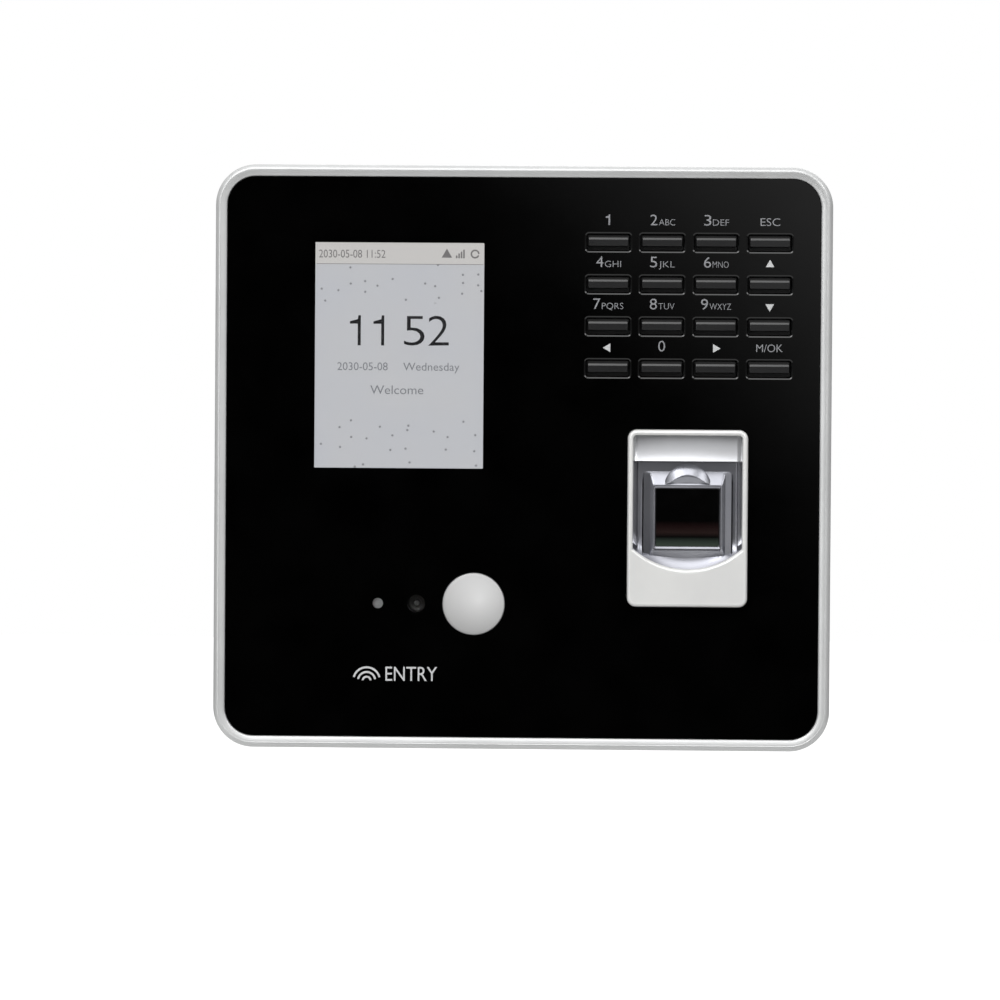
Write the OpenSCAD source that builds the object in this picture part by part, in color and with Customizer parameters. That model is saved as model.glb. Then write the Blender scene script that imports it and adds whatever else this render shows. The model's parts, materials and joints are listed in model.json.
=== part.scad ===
// Wall-mounted fingerprint scanner terminal.
// Frame: X to the right and Z up as seen from the front, Y into the wall.
// The origin is the middle of the wall plate's back face, and the wall is the plane Y = 0.
// Depths are distances from the wall, so a depth of 30 is at Y = -30.

/* [Terminal] */
// Overall width across the silver rim
body_w = 157.5; // [156:0.5:160]
// Overall height across the silver rim
body_h = 149; // [148.5:0.5:152]
// Outer corner radius of the rim
corner_r = 10.3; // [10:0.1:11]
// Width of the rim seen from the front
rim_w = 3; // [2.8:0.1:3.2]
// Distance from the wall to the front of the rim
rim_front = 30; // [29.8:0.1:30.4]
// Thickness of the clear front panel
lens_t = 1.8; // [1.5:0.1:2]

/* [Display] */
// Centre of the display, sideways
lcd_x = -31.65; // [-33:0.05:-31]
// Centre of the display, upwards
lcd_z = 25.95; // [25:0.05:27]
// Width of the lit area of a 2.8 inch display
lcd_active_w = 43.2; // [42:0.1:44]
// Height of the lit area
lcd_active_h = 57.6; // [56:0.1:58]
// Outside width of the display module
lcd_w = 50; // [49:0.1:50.4]
// Outside height of the display module
lcd_h = 69.2; // [68:0.1:70]

/* [Keypad] */
// Centre of the first key column
key_x = 21.6; // [21:0.1:22.4]
// Centre of the first key row
key_z = 55.1; // [54.8:0.1:55.6]
// Distance between columns
key_step_x = 13.72; // [13.4:0.02:13.9]
// Distance between rows
key_step_z = 10.7; // [10.4:0.1:10.8]
// Width of a keycap
key_w = 10.9; // [10.4:0.1:11]
// Height of a keycap
key_h = 4; // [3.8:0.1:4.1]
// How far a key travels when it is pressed
key_travel = 0.8; // [0.4:0.1:0.8]

/* [Reader] */
// Centre of the fingerprint reader, sideways
reader_x = 42.2; // [41:0.1:43]
// Centre of the fingerprint reader, upwards
reader_z = -15.1; // [-16:0.1:-15]
// Width of the reader housing
reader_w = 30.6; // [30:0.1:31]
// Height of the reader housing
reader_h = 45.1; // [44.5:0.1:45.5]
// Width of the fingerprint glass
glass_w = 16; // [15:0.1:16.4]
// Height of the fingerprint glass
glass_h = 14.7; // [14:0.1:15]
// Distance from the wall to the front of the reader
reader_front = 32.2; // [31.8:0.1:32.6]

/* [Camera and lamp] */
// Height of the camera, lamp and indicator
eye_z = -37.4; // [-38:0.1:-37]
// Centre of the lamp, sideways
lamp_x = -12.2; // [-13:0.1:-12]
// Radius of the lamp's diffuser
lamp_r = 7.95; // [7.5:0.05:8]
// Centre of the camera, sideways
camera_x = -26.8; // [-27:0.1:-26.5]
// Centre of the indicator light, sideways
pipe_x = -36.7; // [-37:0.1:-36]
// Radius of the indicator's light pipe
pipe_r = 1.35; // [1.2:0.05:1.5]

/* [Connectors] */
// Left and right limit of the connector bay
bay_x = [-54, 20]; // [-56:0.5:21]
// Lower and upper limit of the connector bay
bay_z = [-53.5, -18]; // [-54:0.5:-17]
// Number of ways of the wiring block
block_ways = 8; // [6:1:8]
// Pitch of the wiring block
block_step = 3.81; // [3.5:0.01:3.81]
// Radius of the power jack's hole
jack_r = 2.9; // [2.8:0.05:3]
// Radius of the power jack's centre pin
jack_pin_r = 1; // [0.9:0.05:1.1]

/* [Wall plate] */
// Width of the wall plate
plate_w = 116; // [114:1:118]
// Lower and upper limit of the wall plate
plate_z = [-57, 53]; // [-58:0.5:54]
// Thickness of the wall plate's sheet
plate_t = 1.5; // [1.2:0.1:1.6]
// Radius of the wall screw holes
screw_hole_r = 2.25; // [2:0.05:2.5]
// Distance between wall screw holes, sideways
screw_span_x = 104; // [103:1:105]
// Distance between wall screw holes, upwards
screw_span_z = 80; // [78:1:82]
// Height of the middle of the wall screw holes
screw_mid_z = 4; // [3:1:5]
// Distance between the two holes that fit a wall box
box_span = 60; // [58:0.1:61]
// Sideways position of the hooks
hook_x = 42; // [41:0.5:43]
// Height of the lower edge of the upper and lower hooks
hook_z = [36, -8]; // [-10:1:38]
// How far the terminal lifts to come off the hooks
lift = 6; // [5.5:0.1:6]

/* [Hidden] */
$fn = 64;
hull_fn = 32;

KEY_NODES = ["key_1", "key_2", "key_3", "key_esc", "key_4", "key_5", "key_6", "key_up",
             "key_7", "key_8", "key_9", "key_down", "key_left", "key_0", "key_right", "key_ok"];

// Gaps between neighbours
snug = 0.15;            // pieces that sit still
slide_gap = 0.2;        // keys in their slots
over = 1;               // how far a cutter runs past a face

// Depths of the front stack, from the front backwards
lens_front = rim_front - 0.6;
lens_back = lens_front - lens_t;
mask_back = lens_back - 0.2;
wall_front = mask_back - 0.3;      // front face of the front housing
wall_back = wall_front - 2;
split = 22;                        // where the front and rear housings meet

// Front outlines
panel_w = body_w - 2 * rim_w;
panel_h = body_h - 2 * rim_w;
panel_r = corner_r - rim_w;
skirt_t = 1.5;
front_w = body_w - 2 * skirt_t - 2 * snug;
front_h = body_h - 2 * skirt_t - 2 * snug;
front_r = corner_r - skirt_t - snug;
shell_t = 2;

// Rear housing
rear_step = 3.25;                  // how far the rear housing stands back from the rim
rear_w = body_w - 2 * rear_step;
rear_h = body_h - 2 * rear_step;
rear_r = corner_r - 2;
taper_depth = 9;                   // the back edges slope from here to the back
taper_in = 5;
rear_back = 0.5;
tub_floor = [4, 6];                // the wall behind which the plate lies
tub_x = 61;
tub_top = 56;
rear_bottom = -rear_h / 2;

// Boards
board = [17.4, 19];                // main board
board_left = -60;
board_right = 22;
board_z = [-66, 68];
keypad_board = [19.7, 21.3];
mat = [21.3, 22.3];
keypad_x = [12.5, 72];
keypad_y = [14, 66];

// Bay
bay_wall = 1.6;
bay_floor = [15.7, 16.9];

// Keys
KEYS = [for (row = [0:3], col = [0:3]) [key_x + col * key_step_x, key_z - row * key_step_z]];
slot_w = 11.5;
slot_h = 4.6;
slot_r = 0.8;
key_front = lens_front + 0.3;
flange_front = wall_back - 0.05;
flange_t = 1;
post_r = 2;
post_back = keypad_board[1] + key_travel + 0.1;

// Display levels
lcd_front = mask_back - 0.05;
lcd_glass_back = lcd_front - 1.3;
lcd_light_back = lcd_glass_back - 1.75;
bracket_t = 0.8;

// Reader levels
reader_r = 2.3;
reader_rim = 1.4;
reader_floor = lens_front - 0.5;   // bottom of the recess round the cradle
reader_rim_front = reader_front - 0.3;
reader_top = reader_z + reader_h / 2;
glass_z = reader_z + 0.25;
cradle_w = 22.4;
cradle_front = 30.6;
glass_front = cradle_front - 0.1;
reader_flange = [wall_back - 1.2, wall_back];
reader_board = [16.1, 17.3];

// Screws: pan head radius and height, shank radius
big_screw = [2.8, 2, 1.3];
small_screw = [2.2, 1.4, 1.05];
CORNERS = [for (sx = [-1, 1], sz = [-1, 1]) [sx * 64.8, sz * 61]];
BOARD_HOLES = [[-52, 65], [5, 65], [5, -13], [-55, -61], [18, -61]];
KEYPAD_HOLES = [[15.5, 17], [69, 17], [15.5, 63], [56, 63]];
corner_boss_r = 3;
corner_meet = 15.1;                // where the corner posts of the two housings meet
corner_seat = 11;                  // where the heads of the corner screws sit
READER_HOLES = [for (sx = [-1, 1], sz = [-1, 1]) [reader_x + sx * 11.5, reader_z + sz * 18.6]];
// depths that the pilot holes for the case screws and the board screws run between
case_pilot = [14, 24];
board_pilot = [18, 25.8];
// depth of the tips of the heat stakes
stake_tip = 22.6;
STAKES = concat(
    [for (sx = [-1, 1], sz = [-1, 1]) [lcd_x + sx * 26.6, lcd_z + sz * 32]],
    [for (s = [-1, 1]) [reader_x, reader_z + s * 25.8]]);

// Connectors: sideways centre or limits, and heights
rj = [[-52, -36], [-40.5, -19.2]];
rj_back = tub_floor[0];
jack_box = [[-32, -23], [-33.5, -19.3]];
jack_back = 6.4;
jack_depth = 10.9;
block_x = -18.5;
block_z = [-30, -19.3];
block_back = 8.4;
reset_x = 17;
reset_z = -22.4;
usb_x = 30.75;
usb_size = [14.5, 7, 13.8];
usb_mouth = rear_bottom + 1.95;
flap_t = 1.5;
flap_hinge = 9.6;                  // depth of the flap's pivot
flap_front = 19.6;
tamper = [10, 8];
speaker_x = 44;
speaker_z = -36;
speaker_r = 18;

// Locking screw under the terminal
lock_depth = 8.5;
notch_roof = -66.5;
notch_w = 21;
lip_z = [-68.2, -66.7];
lip_front = 13.5;
lock_r = 1.5;

// ---- building blocks ----

// A front-view outline made solid between two distances from the wall
module slab(back, front) {
    translate([0, -back, 0]) rotate([90, 0, 0]) linear_extrude(front - back) children();
}

// A box from its limits sideways, its depths and its limits upwards
module block(x, depth, z) {
    translate([x[0], -depth[1], z[0]])
        cube([x[1] - x[0], depth[1] - depth[0], z[1] - z[0]]);
}

// A round bar that points at the wall
module rod(at, r, depth) {
    translate([at[0], -depth[0], at[1]]) rotate([90, 0, 0]) cylinder(r = r, h = depth[1] - depth[0]);
}

// A rounded rectangle in the front view
module round_rect(w, h, r) {
    square([w - 2 * r, h], center = true);
    square([w, h - 2 * r], center = true);
    for (sx = [-1, 1], sz = [-1, 1]) translate([sx * (w / 2 - r), sz * (h / 2 - r)]) circle(r);
}

// A rectangle from its limits, in the front view
module span(x, z) {
    translate([x[0], z[0]]) square([x[1] - x[0], z[1] - z[0]]);
}

// A pan head screw driven towards the front, with a cross in its head
module pan_screw(at, size, seat, length) {
    difference() {
        union() {
            rod(at, size[0], [seat - size[1], seat]);
            rod(at, size[2], [seat, seat + length]);
        }
        for (turn = [0, 90]) translate([at[0], -seat + size[1], at[1]]) rotate([0, turn, 0])
            cube([size[0] * 1.2, size[1], 0.6], center = true);
    }
}

// The display, key, reader, lamp, camera and indicator outlines of the face
module display_outline(w, h) { translate([lcd_x, lcd_z]) square([w, h], center = true); }
module key_outlines(grow) {
    for (at = KEYS) translate(at) round_rect(slot_w + 2 * grow, slot_h + 2 * grow, slot_r);
}
module reader_outline(grow) {
    translate([reader_x, reader_z])
        round_rect(reader_w + 2 * grow, reader_h + 2 * grow, reader_r + grow);
}
module eye_hole(x, r) { translate([x, eye_z]) circle(r); }

// ---- front ----

// Section of the silver rim: distance from the corner's centre, distance from the wall
module rim_section() {
    bevel = 1.1;
    inner_bevel = 0.7;
    flange_back = wall_front + 0.05;
    inner = corner_r - rim_w;
    polygon([
        [corner_r, split + 0.1], [corner_r, rim_front - bevel], [corner_r - bevel, rim_front],
        [inner + inner_bevel, rim_front], [inner, rim_front - inner_bevel], [inner, flange_back],
        [corner_r - skirt_t, flange_back], [corner_r - skirt_t, split + 0.1]]);
}

module front_bezel() color("silver") {
    corner_x = body_w / 2 - corner_r;
    corner_z = body_h / 2 - corner_r;
    for (mx = [0, 1]) mirror([mx, 0, 0]) {
        translate([corner_x, 0, corner_z]) rotate([180, 0, 0])
            linear_extrude(2 * corner_z) rim_section();
        for (mz = [0, 1]) mirror([0, 0, mz]) translate([corner_x, 0, corner_z])
            rotate([90, 0, 0]) rotate_extrude(angle = 90) rim_section();
    }
    for (mz = [0, 1]) mirror([0, 0, mz]) translate([-corner_x, 0, corner_z])
        rotate(a = 180, v = [1, 0, 1]) linear_extrude(2 * corner_x) rim_section();
}

module front_lens() color("#0b0b0d") slab(lens_back, lens_front) difference() {
    round_rect(panel_w - 2 * snug, panel_h - 2 * snug, panel_r - snug);
    key_outlines(0);
    reader_outline(snug);
    eye_hole(lamp_x, lamp_r + snug);
}

module lens_mask() color("black") slab(mask_back, lens_back) difference() {
    round_rect(panel_w - 0.6, panel_h - 0.6, panel_r - 0.3);
    display_outline(lcd_active_w, lcd_active_h);
    key_outlines(0);
    reader_outline(0.3);
    eye_hole(lamp_x, lamp_r + snug);
    eye_hole(camera_x, 2.3);
    eye_hole(pipe_x, pipe_r);
}

module lens_gasket() color("dimgray") slab(wall_front, mask_back) difference() {
    round_rect(panel_w - 0.8, panel_h - 0.8, panel_r - 0.4);
    display_outline(lcd_w + 0.6, lcd_h + 0.6);
    span([key_x - 7, key_x + 3 * key_step_x + 7], [key_z - 3 * key_step_z - 4, key_z + 4]);
    reader_outline(0.5);
    eye_hole(lamp_x, lamp_r + 0.5);
    eye_hole(camera_x, 3.5);
    eye_hole(pipe_x, pipe_r + 0.3);
}

module front_housing() color("#2b2b2e") {
    wall = [wall_back - over, wall_front + over];
    difference() {
        union() {
            slab(wall_back, wall_front) round_rect(front_w, front_h, front_r);
            slab(split, wall_back) difference() {
                round_rect(front_w, front_h, front_r);
                round_rect(front_w - 2 * shell_t, front_h - 2 * shell_t, front_r - shell_t);
            }
            for (at = CORNERS) rod(at, corner_boss_r, [corner_meet, wall_back]);
            for (at = BOARD_HOLES) rod(at, 3, [board[1], wall_back]);
            for (at = KEYPAD_HOLES) rod(at, 2.4, [keypad_board[1], wall_back]);
            for (at = STAKES) rod(at, 1.4, [stake_tip, wall_back]);
        }
        slab(wall[0], wall[1]) {
            display_outline(lcd_w + 0.6, lcd_h + 0.6);
            for (at = KEYS) translate(at)
                square([key_w + 2 * slide_gap, key_h + 2 * slide_gap], center = true);
            reader_outline(snug);
            eye_hole(lamp_x, lamp_r + snug);
            eye_hole(camera_x, 3.35);
            eye_hole(pipe_x, pipe_r + snug);
        }
        for (at = CORNERS) rod(at, big_screw[2] + 0.05, case_pilot);
        for (at = concat(BOARD_HOLES, KEYPAD_HOLES)) rod(at, small_screw[2] + 0.05, board_pilot);
    }
}

// ---- keypad ----

// Side outline of a keycap: depth from the wall against height, bevelled to a narrow face
module key(i) color("#3a3b3e") {
    bevel_depth = 0.8;
    face_half = 1.15;
    base = flange_front - flange_t;
    translate([KEYS[i][0], 0, KEYS[i][1]]) {
        translate([-key_w / 2, 0, 0]) rotate([90, 0, 90]) linear_extrude(key_w) polygon([
            [-flange_front, -key_h / 2], [-key_front + bevel_depth, -key_h / 2],
            [-key_front, -face_half], [-key_front, face_half],
            [-key_front + bevel_depth, key_h / 2], [-flange_front, key_h / 2]]);
        block([-key_w / 2 - 0.7, key_w / 2 + 0.7], [base, flange_front],
              [-key_h / 2 - 0.9, key_h / 2 + 0.9]);
        rod([0, 0], post_r, [post_back, base]);
    }
}

module keypad_mat() color("lightgray") difference() {
    union() {
        slab(mat[0], mat[1]) span(keypad_x, keypad_y);
        for (at = KEYS) rod(at, post_r + 1.1, [mat[1], mat[1] + 0.7]);
    }
    for (at = KEYS) rod(at, post_r + 0.2, [mat[0] - over, mat[1] + over]);
    for (at = KEYPAD_HOLES) rod(at, 2.8, [mat[0] - over, mat[1] + over]);
    for (at = CORNERS) rod(at, corner_boss_r + 0.4, [mat[0] - over, mat[1] + over]);
}

module keypad_pcb() color("darkgreen") {
    difference() {
        slab(keypad_board[0], keypad_board[1]) span(keypad_x, keypad_y);
        for (at = KEYPAD_HOLES) rod(at, 1.25, [keypad_board[0] - over, keypad_board[1] + over]);
        for (at = CORNERS)
            rod(at, corner_boss_r + 0.4, [keypad_board[0] - over, keypad_board[1] + over]);
    }
    // header that plugs into the main board
    block([14.5, 20.5], [keypad_board[0] - 0.6, keypad_board[0]], [24, 50]);
}

// ---- display ----

module lcd_panel() color("lightsteelblue") slab(lcd_glass_back, lcd_front) display_outline(lcd_w, lcd_h);

module lcd_backlight() color("whitesmoke")
    slab(lcd_light_back, lcd_glass_back) display_outline(lcd_w, lcd_h);

module lcd_bracket() color("silver") difference() {
    slab(lcd_light_back - bracket_t, lcd_light_back) difference() {
        display_outline(lcd_w + 8, lcd_h);
        display_outline(lcd_w - 14, lcd_h - 20);
    }
    for (at = STAKES) rod(at, 1.5, [lcd_light_back - 2, lcd_light_back + over]);
}

// Flat cable from the lower edge of the display to the main board
module display_cable() color("peru") {
    cable_w = 24;
    top = lcd_z - lcd_h / 2;
    translate([lcd_x - cable_w / 2, 0, 0]) rotate([90, 0, 90]) linear_extrude(cable_w) polygon([
        [-lcd_light_back - 0.2, top], [-lcd_light_back - 0.2, top - 4], [-board[1], top - 7],
        [-board[1], top - 14], [-board[1] - 0.3, top - 14], [-board[1] - 0.3, top - 7.2],
        [-lcd_light_back - 0.5, top - 4.2], [-lcd_light_back - 0.5, top]]);
}

// ---- camera and lamp ----

module camera_lens() color("#151515") translate([camera_x, 0, eye_z]) rotate([90, 0, 0])
    rotate_extrude() polygon([
        [0, 21.6], [3.2, 21.6], [3.2, mask_back - 0.1], [2, mask_back - 0.1],
        [0.9, mask_back - 0.7], [0, mask_back - 0.6]]);

module camera_holder() color("#1c1c1e") difference() {
    block([camera_x - 4.3, camera_x + 4.3], [20.6, 25], [eye_z - 4.3, eye_z + 4.3]);
    rod([camera_x, eye_z], 3.25, [21.6, 26]);
    rod([camera_x, eye_z], 2.4, [20, 22]);
}

module camera_board() color("darkgreen") difference() {
    block([camera_x - 6, camera_x + 6], [19.8, 20.6], [eye_z - 6, eye_z + 6]);
    rod([camera_x, eye_z], 1, [19, 21]);
}

module lamp_diffuser() color("white") translate([lamp_x, 0, eye_z]) rotate([90, 0, 0])
    rotate_extrude() difference() {
        dome_r = 22;
        dome_front = lens_front + 1.4;
        union() {
            intersection() {
                translate([0, wall_back]) square([lamp_r, dome_front - wall_back]);
                translate([0, dome_front - dome_r]) circle(dome_r, $fn = 180);
            }
            translate([0, wall_back - 0.8]) square([lamp_r + 1.4, 0.75]);
            translate([0, wall_back - 0.8]) square([lamp_r, 1.2]);
        }
        translate([0, 20]) square([lamp_r - 1.2, lens_front - 20 - 0.4]);
    }

module lamp_reflector() color("gainsboro") translate([lamp_x, 0, eye_z]) rotate([90, 0, 0])
    rotate_extrude() polygon([
        [4.6, 21.6], [9.2, wall_back - 1.2], [9.2, wall_back - 0.85], [7.4, wall_back - 0.85],
        [3.2, 22.1], [3.2, 21.6]]);

module lamp_board() color("darkgreen") {
    difference() {
        block([pipe_x - 4, lamp_x + 10], [20.6, 21.6], [eye_z - 9.5, eye_z + 9.5]);
        block([camera_x - 6.5, camera_x + 6.5], [20, 22], [eye_z - 6.5, eye_z + 6.5]);
    }
    // lamp LEDs inside the reflector, and the indicator's LED behind the light pipe
    for (sx = [-1, 1], sz = [-1, 1])
        block([lamp_x + sx * 1.3 - 0.8, lamp_x + sx * 1.3 + 0.8], [21.6, 22.2],
              [eye_z + sz * 1.3 - 0.8, eye_z + sz * 1.3 + 0.8]);
    block([pipe_x - 0.8, pipe_x + 0.8], [21.6, 22.2], [eye_z - 0.8, eye_z + 0.8]);
}

module light_pipe() color("lightgray") {
    rod([pipe_x, eye_z], pipe_r, [22.4, mask_back - 0.05]);
    rod([pipe_x, eye_z], pipe_r + 0.8, [wall_back - 0.8, wall_back - 0.05]);
}

// ---- fingerprint reader ----

// Recess of the reader round the cradle, closed below by an arc
module recess_outline(w) {
    arc_r = 21;
    arc_low = reader_top - 35.5;
    intersection() {
        translate([reader_x, reader_top - 8.2 - 20]) square([w, 40], center = true);
        translate([reader_x, arc_low + arc_r]) circle(arc_r, $fn = 120);
    }
    span([reader_x - w / 2, reader_x + w / 2], [reader_top - 25, reader_top - 8.2]);
}

module reader_bezel() color("silver") {
    opening_w = cradle_w + 0.3;
    opening_z = [reader_top - 33, reader_top - 10.5];
    difference() {
        union() {
            slab(wall_back, reader_rim_front) reader_outline(0);
            slab(reader_flange[0], reader_flange[1] - 0.05) translate([reader_x, reader_z])
                round_rect(reader_w + 3.4, reader_h + 12, 3);
            slab(reader_flange[1] - 0.1, wall_back) reader_outline(0);
            // brow: a slope that rises to its lower edge
            translate([reader_x - reader_w / 2 + reader_rim, 0, 0]) rotate([90, 0, 90])
                linear_extrude(reader_w - 2 * reader_rim) polygon([
                    [-wall_front, reader_top - 0.9], [-reader_rim_front, reader_top - 0.9],
                    [-reader_front, reader_top - 7.6], [-reader_front + 0.3, reader_top - 8.2],
                    [-wall_front, reader_top - 8.2]]);
            for (at = READER_HOLES) rod(at, 2, [reader_board[1], reader_flange[0]]);
        }
        slab(reader_floor, reader_front + over) recess_outline(reader_w - 2 * reader_rim);
        block([reader_x - opening_w / 2, reader_x + opening_w / 2], [15, reader_front], opening_z);
        for (at = READER_HOLES) rod(at, small_screw[2] + 0.05, [15, reader_floor - 3.4]);
        for (at = STAKES) rod(at, 1.5, [15, wall_back + over]);
    }
}

// Raised seat with sloping sides round the glass, and the ridge that stops the fingertip
module reader_cradle() color("#8f9299") {
    z = [reader_top - 32.9, reader_top - 10.6];
    frame_w = glass_w + 1;
    frame_h = glass_h + 1.6;
    difference() {
        union() {
            block([reader_x - cradle_w / 2, reader_x + cradle_w / 2], [reader_flange[0], reader_floor], z);
            hull() {
                block([reader_x - cradle_w / 2, reader_x + cradle_w / 2],
                      [reader_floor - 0.5, reader_floor], z);
                slab(cradle_front - 0.1, cradle_front) translate([reader_x, glass_z])
                    square([frame_w, frame_h], center = true);
            }
            intersection() {
                slab(reader_floor, reader_rim_front - 0.2) translate([reader_x, reader_top - 14.9])
                    circle(6.1);
                block([reader_x - 6, reader_x + 6], [reader_floor, reader_front],
                      [glass_z + frame_h / 2, reader_top - 8.8]);
            }
        }
        block([reader_x - glass_w / 2 - 0.1, reader_x + glass_w / 2 + 0.1], [20, reader_front + over],
              [glass_z - glass_h / 2 - 0.1, glass_z + glass_h / 2 + 0.1]);
    }
}

module sensor_window() color("#050505")
    block([reader_x - glass_w / 2, reader_x + glass_w / 2], [wall_front, glass_front],
          [glass_z - glass_h / 2, glass_z + glass_h / 2]);

// Prism block with its light source, under the glass
module reader_optics() color("#202022") {
    block([reader_x - glass_w / 2, reader_x + glass_w / 2], [reader_flange[0], wall_front],
          [glass_z - glass_h / 2, glass_z + glass_h / 2]);
    block([reader_x - 10, reader_x + 10], [reader_board[1], reader_flange[0]],
          [glass_z - 11, glass_z + 9.5]);
}

module reader_pcb() color("darkgreen") {
    difference() {
        block([reader_x - 14, reader_x + 14], reader_board, [reader_z - 21, reader_z + 21]);
        for (at = READER_HOLES) rod(at, 1.25, [15, 18]);
    }
    block([reader_x - 7, reader_x + 1], [reader_board[0] - 1.2, reader_board[0]],
          [reader_z - 6, reader_z + 2]);
}

// Flat cable from the reader board to the main board
module reader_cable() color("peru") {
    z = -12;
    cable_w = 8;
    translate([0, 0, z]) linear_extrude(cable_w) polygon([
        [reader_x - 11, -reader_board[1]], [reader_x - 11, -reader_board[1] - 0.3],
        [reader_x - 14, -reader_board[1] - 0.3], [22.6, -board[1] - 0.32], [14, -board[1] - 0.3],
        [14, -board[1]], [22.6, -board[1] - 0.02], [reader_x - 14, -reader_board[1]]]);
}

// ---- main board ----

module main_pcb() color("darkgreen") {
    foot_right = 39;
    difference() {
        slab(board[0], board[1]) {
            span([board_left, board_right], board_z);
            span([board_left, foot_right], [board_z[0], -55.8]);
        }
        for (at = BOARD_HOLES) rod(at, 1.25, [board[0] - over, board[1] + over]);
        // openings over the heads of the keypad's screws
        for (at = KEYPAD_HOLES) rod(at, small_screw[0] + 0.5, [board[0] - over, board[1] + over]);
    }
    // memory and power chips on the back
    for (i = [0:1]) block([-58 + i * 12, -49 + i * 12], [board[0] - 1, board[0]], [-14, -5]);
    // coils and capacitors of the power supply
    for (i = [0:2]) rod([-54 + i * 9, 27], 3.2, [board[0] - 6, board[0]]);
}

module processor_shield() color("silver") difference() {
    block([-30, -2], [board[0] - 2.5, board[0]], [-12, 16]);
    block([-29.7, -2.3], [board[0] - 2.2, board[0] + over], [-11.7, 15.7]);
}

module battery_holder() color("ivory") difference() {
    block([-32, -8], [board[0] - 4.6, board[0]], [22, 46]);
    rod([-20, 34], 10.15, [10, board[0] - 0.8]);
}

module clock_battery() color("lightgray") rod([-20, 34], 10, [board[0] - 4, board[0] - 0.8]);

module relay() color("royalblue") block([-58, -37.5], [board[0] - 10.6, board[0]], [8, 18.2]);

// Round loudspeaker that faces the grille: basket, cone and magnet in one turned shape
module speaker() color("#26262a") translate([speaker_x, 0, speaker_z]) rotate([90, 0, 0])
    rotate_extrude() polygon([
        [0, 7.6], [6, 7.2], [14, 6.4], [speaker_r - 1, 6.4], [speaker_r - 1, 6.2],
        [speaker_r, 6.2], [speaker_r, 7.4], [11.5, 10], [11.5, 14], [0, 14]]);

// ---- connectors ----

module ethernet_jack() color("silver") difference() {
    cavity = [[rj[0][0] + 2.1, rj[0][1] - 2.1], [rj_back + 3.2, rj_back + 10.2]];
    block(rj[0], [rj_back, board[0]], rj[1]);
    block(cavity[0], cavity[1], [rj[1][0] - over, rj[1][0] + 12]);
    // room for the plug's latch
    block([cavity[0][0] + 2.9, cavity[0][1] - 2.9], [rj_back + 1.2, rj_back + 4],
          [rj[1][0] - over, rj[1][0] + 12]);
}

module power_jack() color("#161616") {
    middle = (jack_box[0][0] + jack_box[0][1]) / 2;
    bottom = jack_box[1][0];
    difference() {
        block(jack_box[0], [jack_back, board[0]], jack_box[1]);
        translate([middle, -jack_depth, bottom - over]) cylinder(r = jack_r, h = 9.5 + over);
    }
    translate([middle, -jack_depth, bottom + 0.5]) cylinder(r = jack_pin_r, h = 9.5);
}

module terminal_block() color("seagreen") difference() {
    length = block_ways * block_step + 1;
    middle = (block_z[0] + block_z[1]) / 2;
    // wire entries: half width, depths, and how far they go in; and the holes over the screws
    entry = 1.3;
    entry_depth = [block_back + 3.4, block_back + 6.2];
    entry_z = [block_z[0] - over, block_z[0] + 6];
    screw_r = 1.4;
    block([block_x, block_x + length], [block_back, board[0]], block_z);
    for (i = [0:block_ways - 1]) {
        x = block_x + 0.5 + (i + 0.5) * block_step;
        block([x - entry, x + entry], entry_depth, entry_z);
        rod([x, middle], screw_r, [block_back - over, block_back + 2]);
    }
}

module usb_socket() color("silver") {
    x = [usb_x - usb_size[0] / 2, usb_x + usb_size[0] / 2];
    depth = [board[0] - usb_size[1], board[0]];
    difference() {
        block(x, depth, [usb_mouth, usb_mouth + usb_size[2]]);
        block([x[0] + 1, x[1] - 1], [depth[0] + 0.9, depth[1] - 0.9], [usb_mouth - over, usb_mouth + 9.5]);
    }
    // contact tongue, hanging from the back of the shell
    block([usb_x - 5.6, usb_x + 5.6], [depth[1] - 3.1, depth[1] - 1.4], [usb_mouth + 0.6, usb_mouth + 9.6]);
}

// Rubber flap over the socket, with a round hinge edge and a plug that fills the mouth
module usb_cover() color("#1b1b1d") {
    top = rear_bottom + flap_t;
    block([usb_x - 10.2, usb_x + 10.2], [flap_hinge, flap_front], [rear_bottom, top]);
    translate([usb_x - 10.2, -flap_hinge, rear_bottom + flap_t / 2]) rotate([0, 90, 0])
        cylinder(r = flap_t / 2, h = 20.4);
    block([usb_x - 5.4, usb_x + 5.4], [11.8, 13.9], [top, top + 1]);
}

module reset_switch() color("#2a2a2a") difference() {
    block([reset_x - 2.25, reset_x + 2.25], [board[0] - 2.8, board[0]], [reset_z - 2.25, reset_z + 2.25]);
    rod([reset_x, reset_z], 1.2, [board[0] - 4, board[0] - 0.8]);
}

module reset_button() color("gold")
    rod([reset_x, reset_z], 1.1, [board[0] - 4.6, board[0] - 1.4]);

module tamper_switch() color("#2a2a2a") difference() {
    block([tamper[0] - 3.25, tamper[0] + 3.25], [10, board[0]], [tamper[1] - 3.25, tamper[1] + 3.25]);
    rod(tamper, 1.65, [9, board[0] - 1.4]);
}

module tamper_plunger() color("orangered") {
    rod(tamper, 1.5, [0, 15.4]);
}

// ---- rear ----

module rear_outer() {
    slab(taper_depth, split - 0.1) round_rect(rear_w, rear_h, rear_r);
    hull() {
        slab(taper_depth, taper_depth + 0.1) round_rect(rear_w, rear_h, rear_r, $fn = hull_fn);
        slab(rear_back, rear_back + 0.1)
            round_rect(rear_w - 2 * taper_in, rear_h - 2 * taper_in, rear_r - 2, $fn = hull_fn);
    }
}

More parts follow.
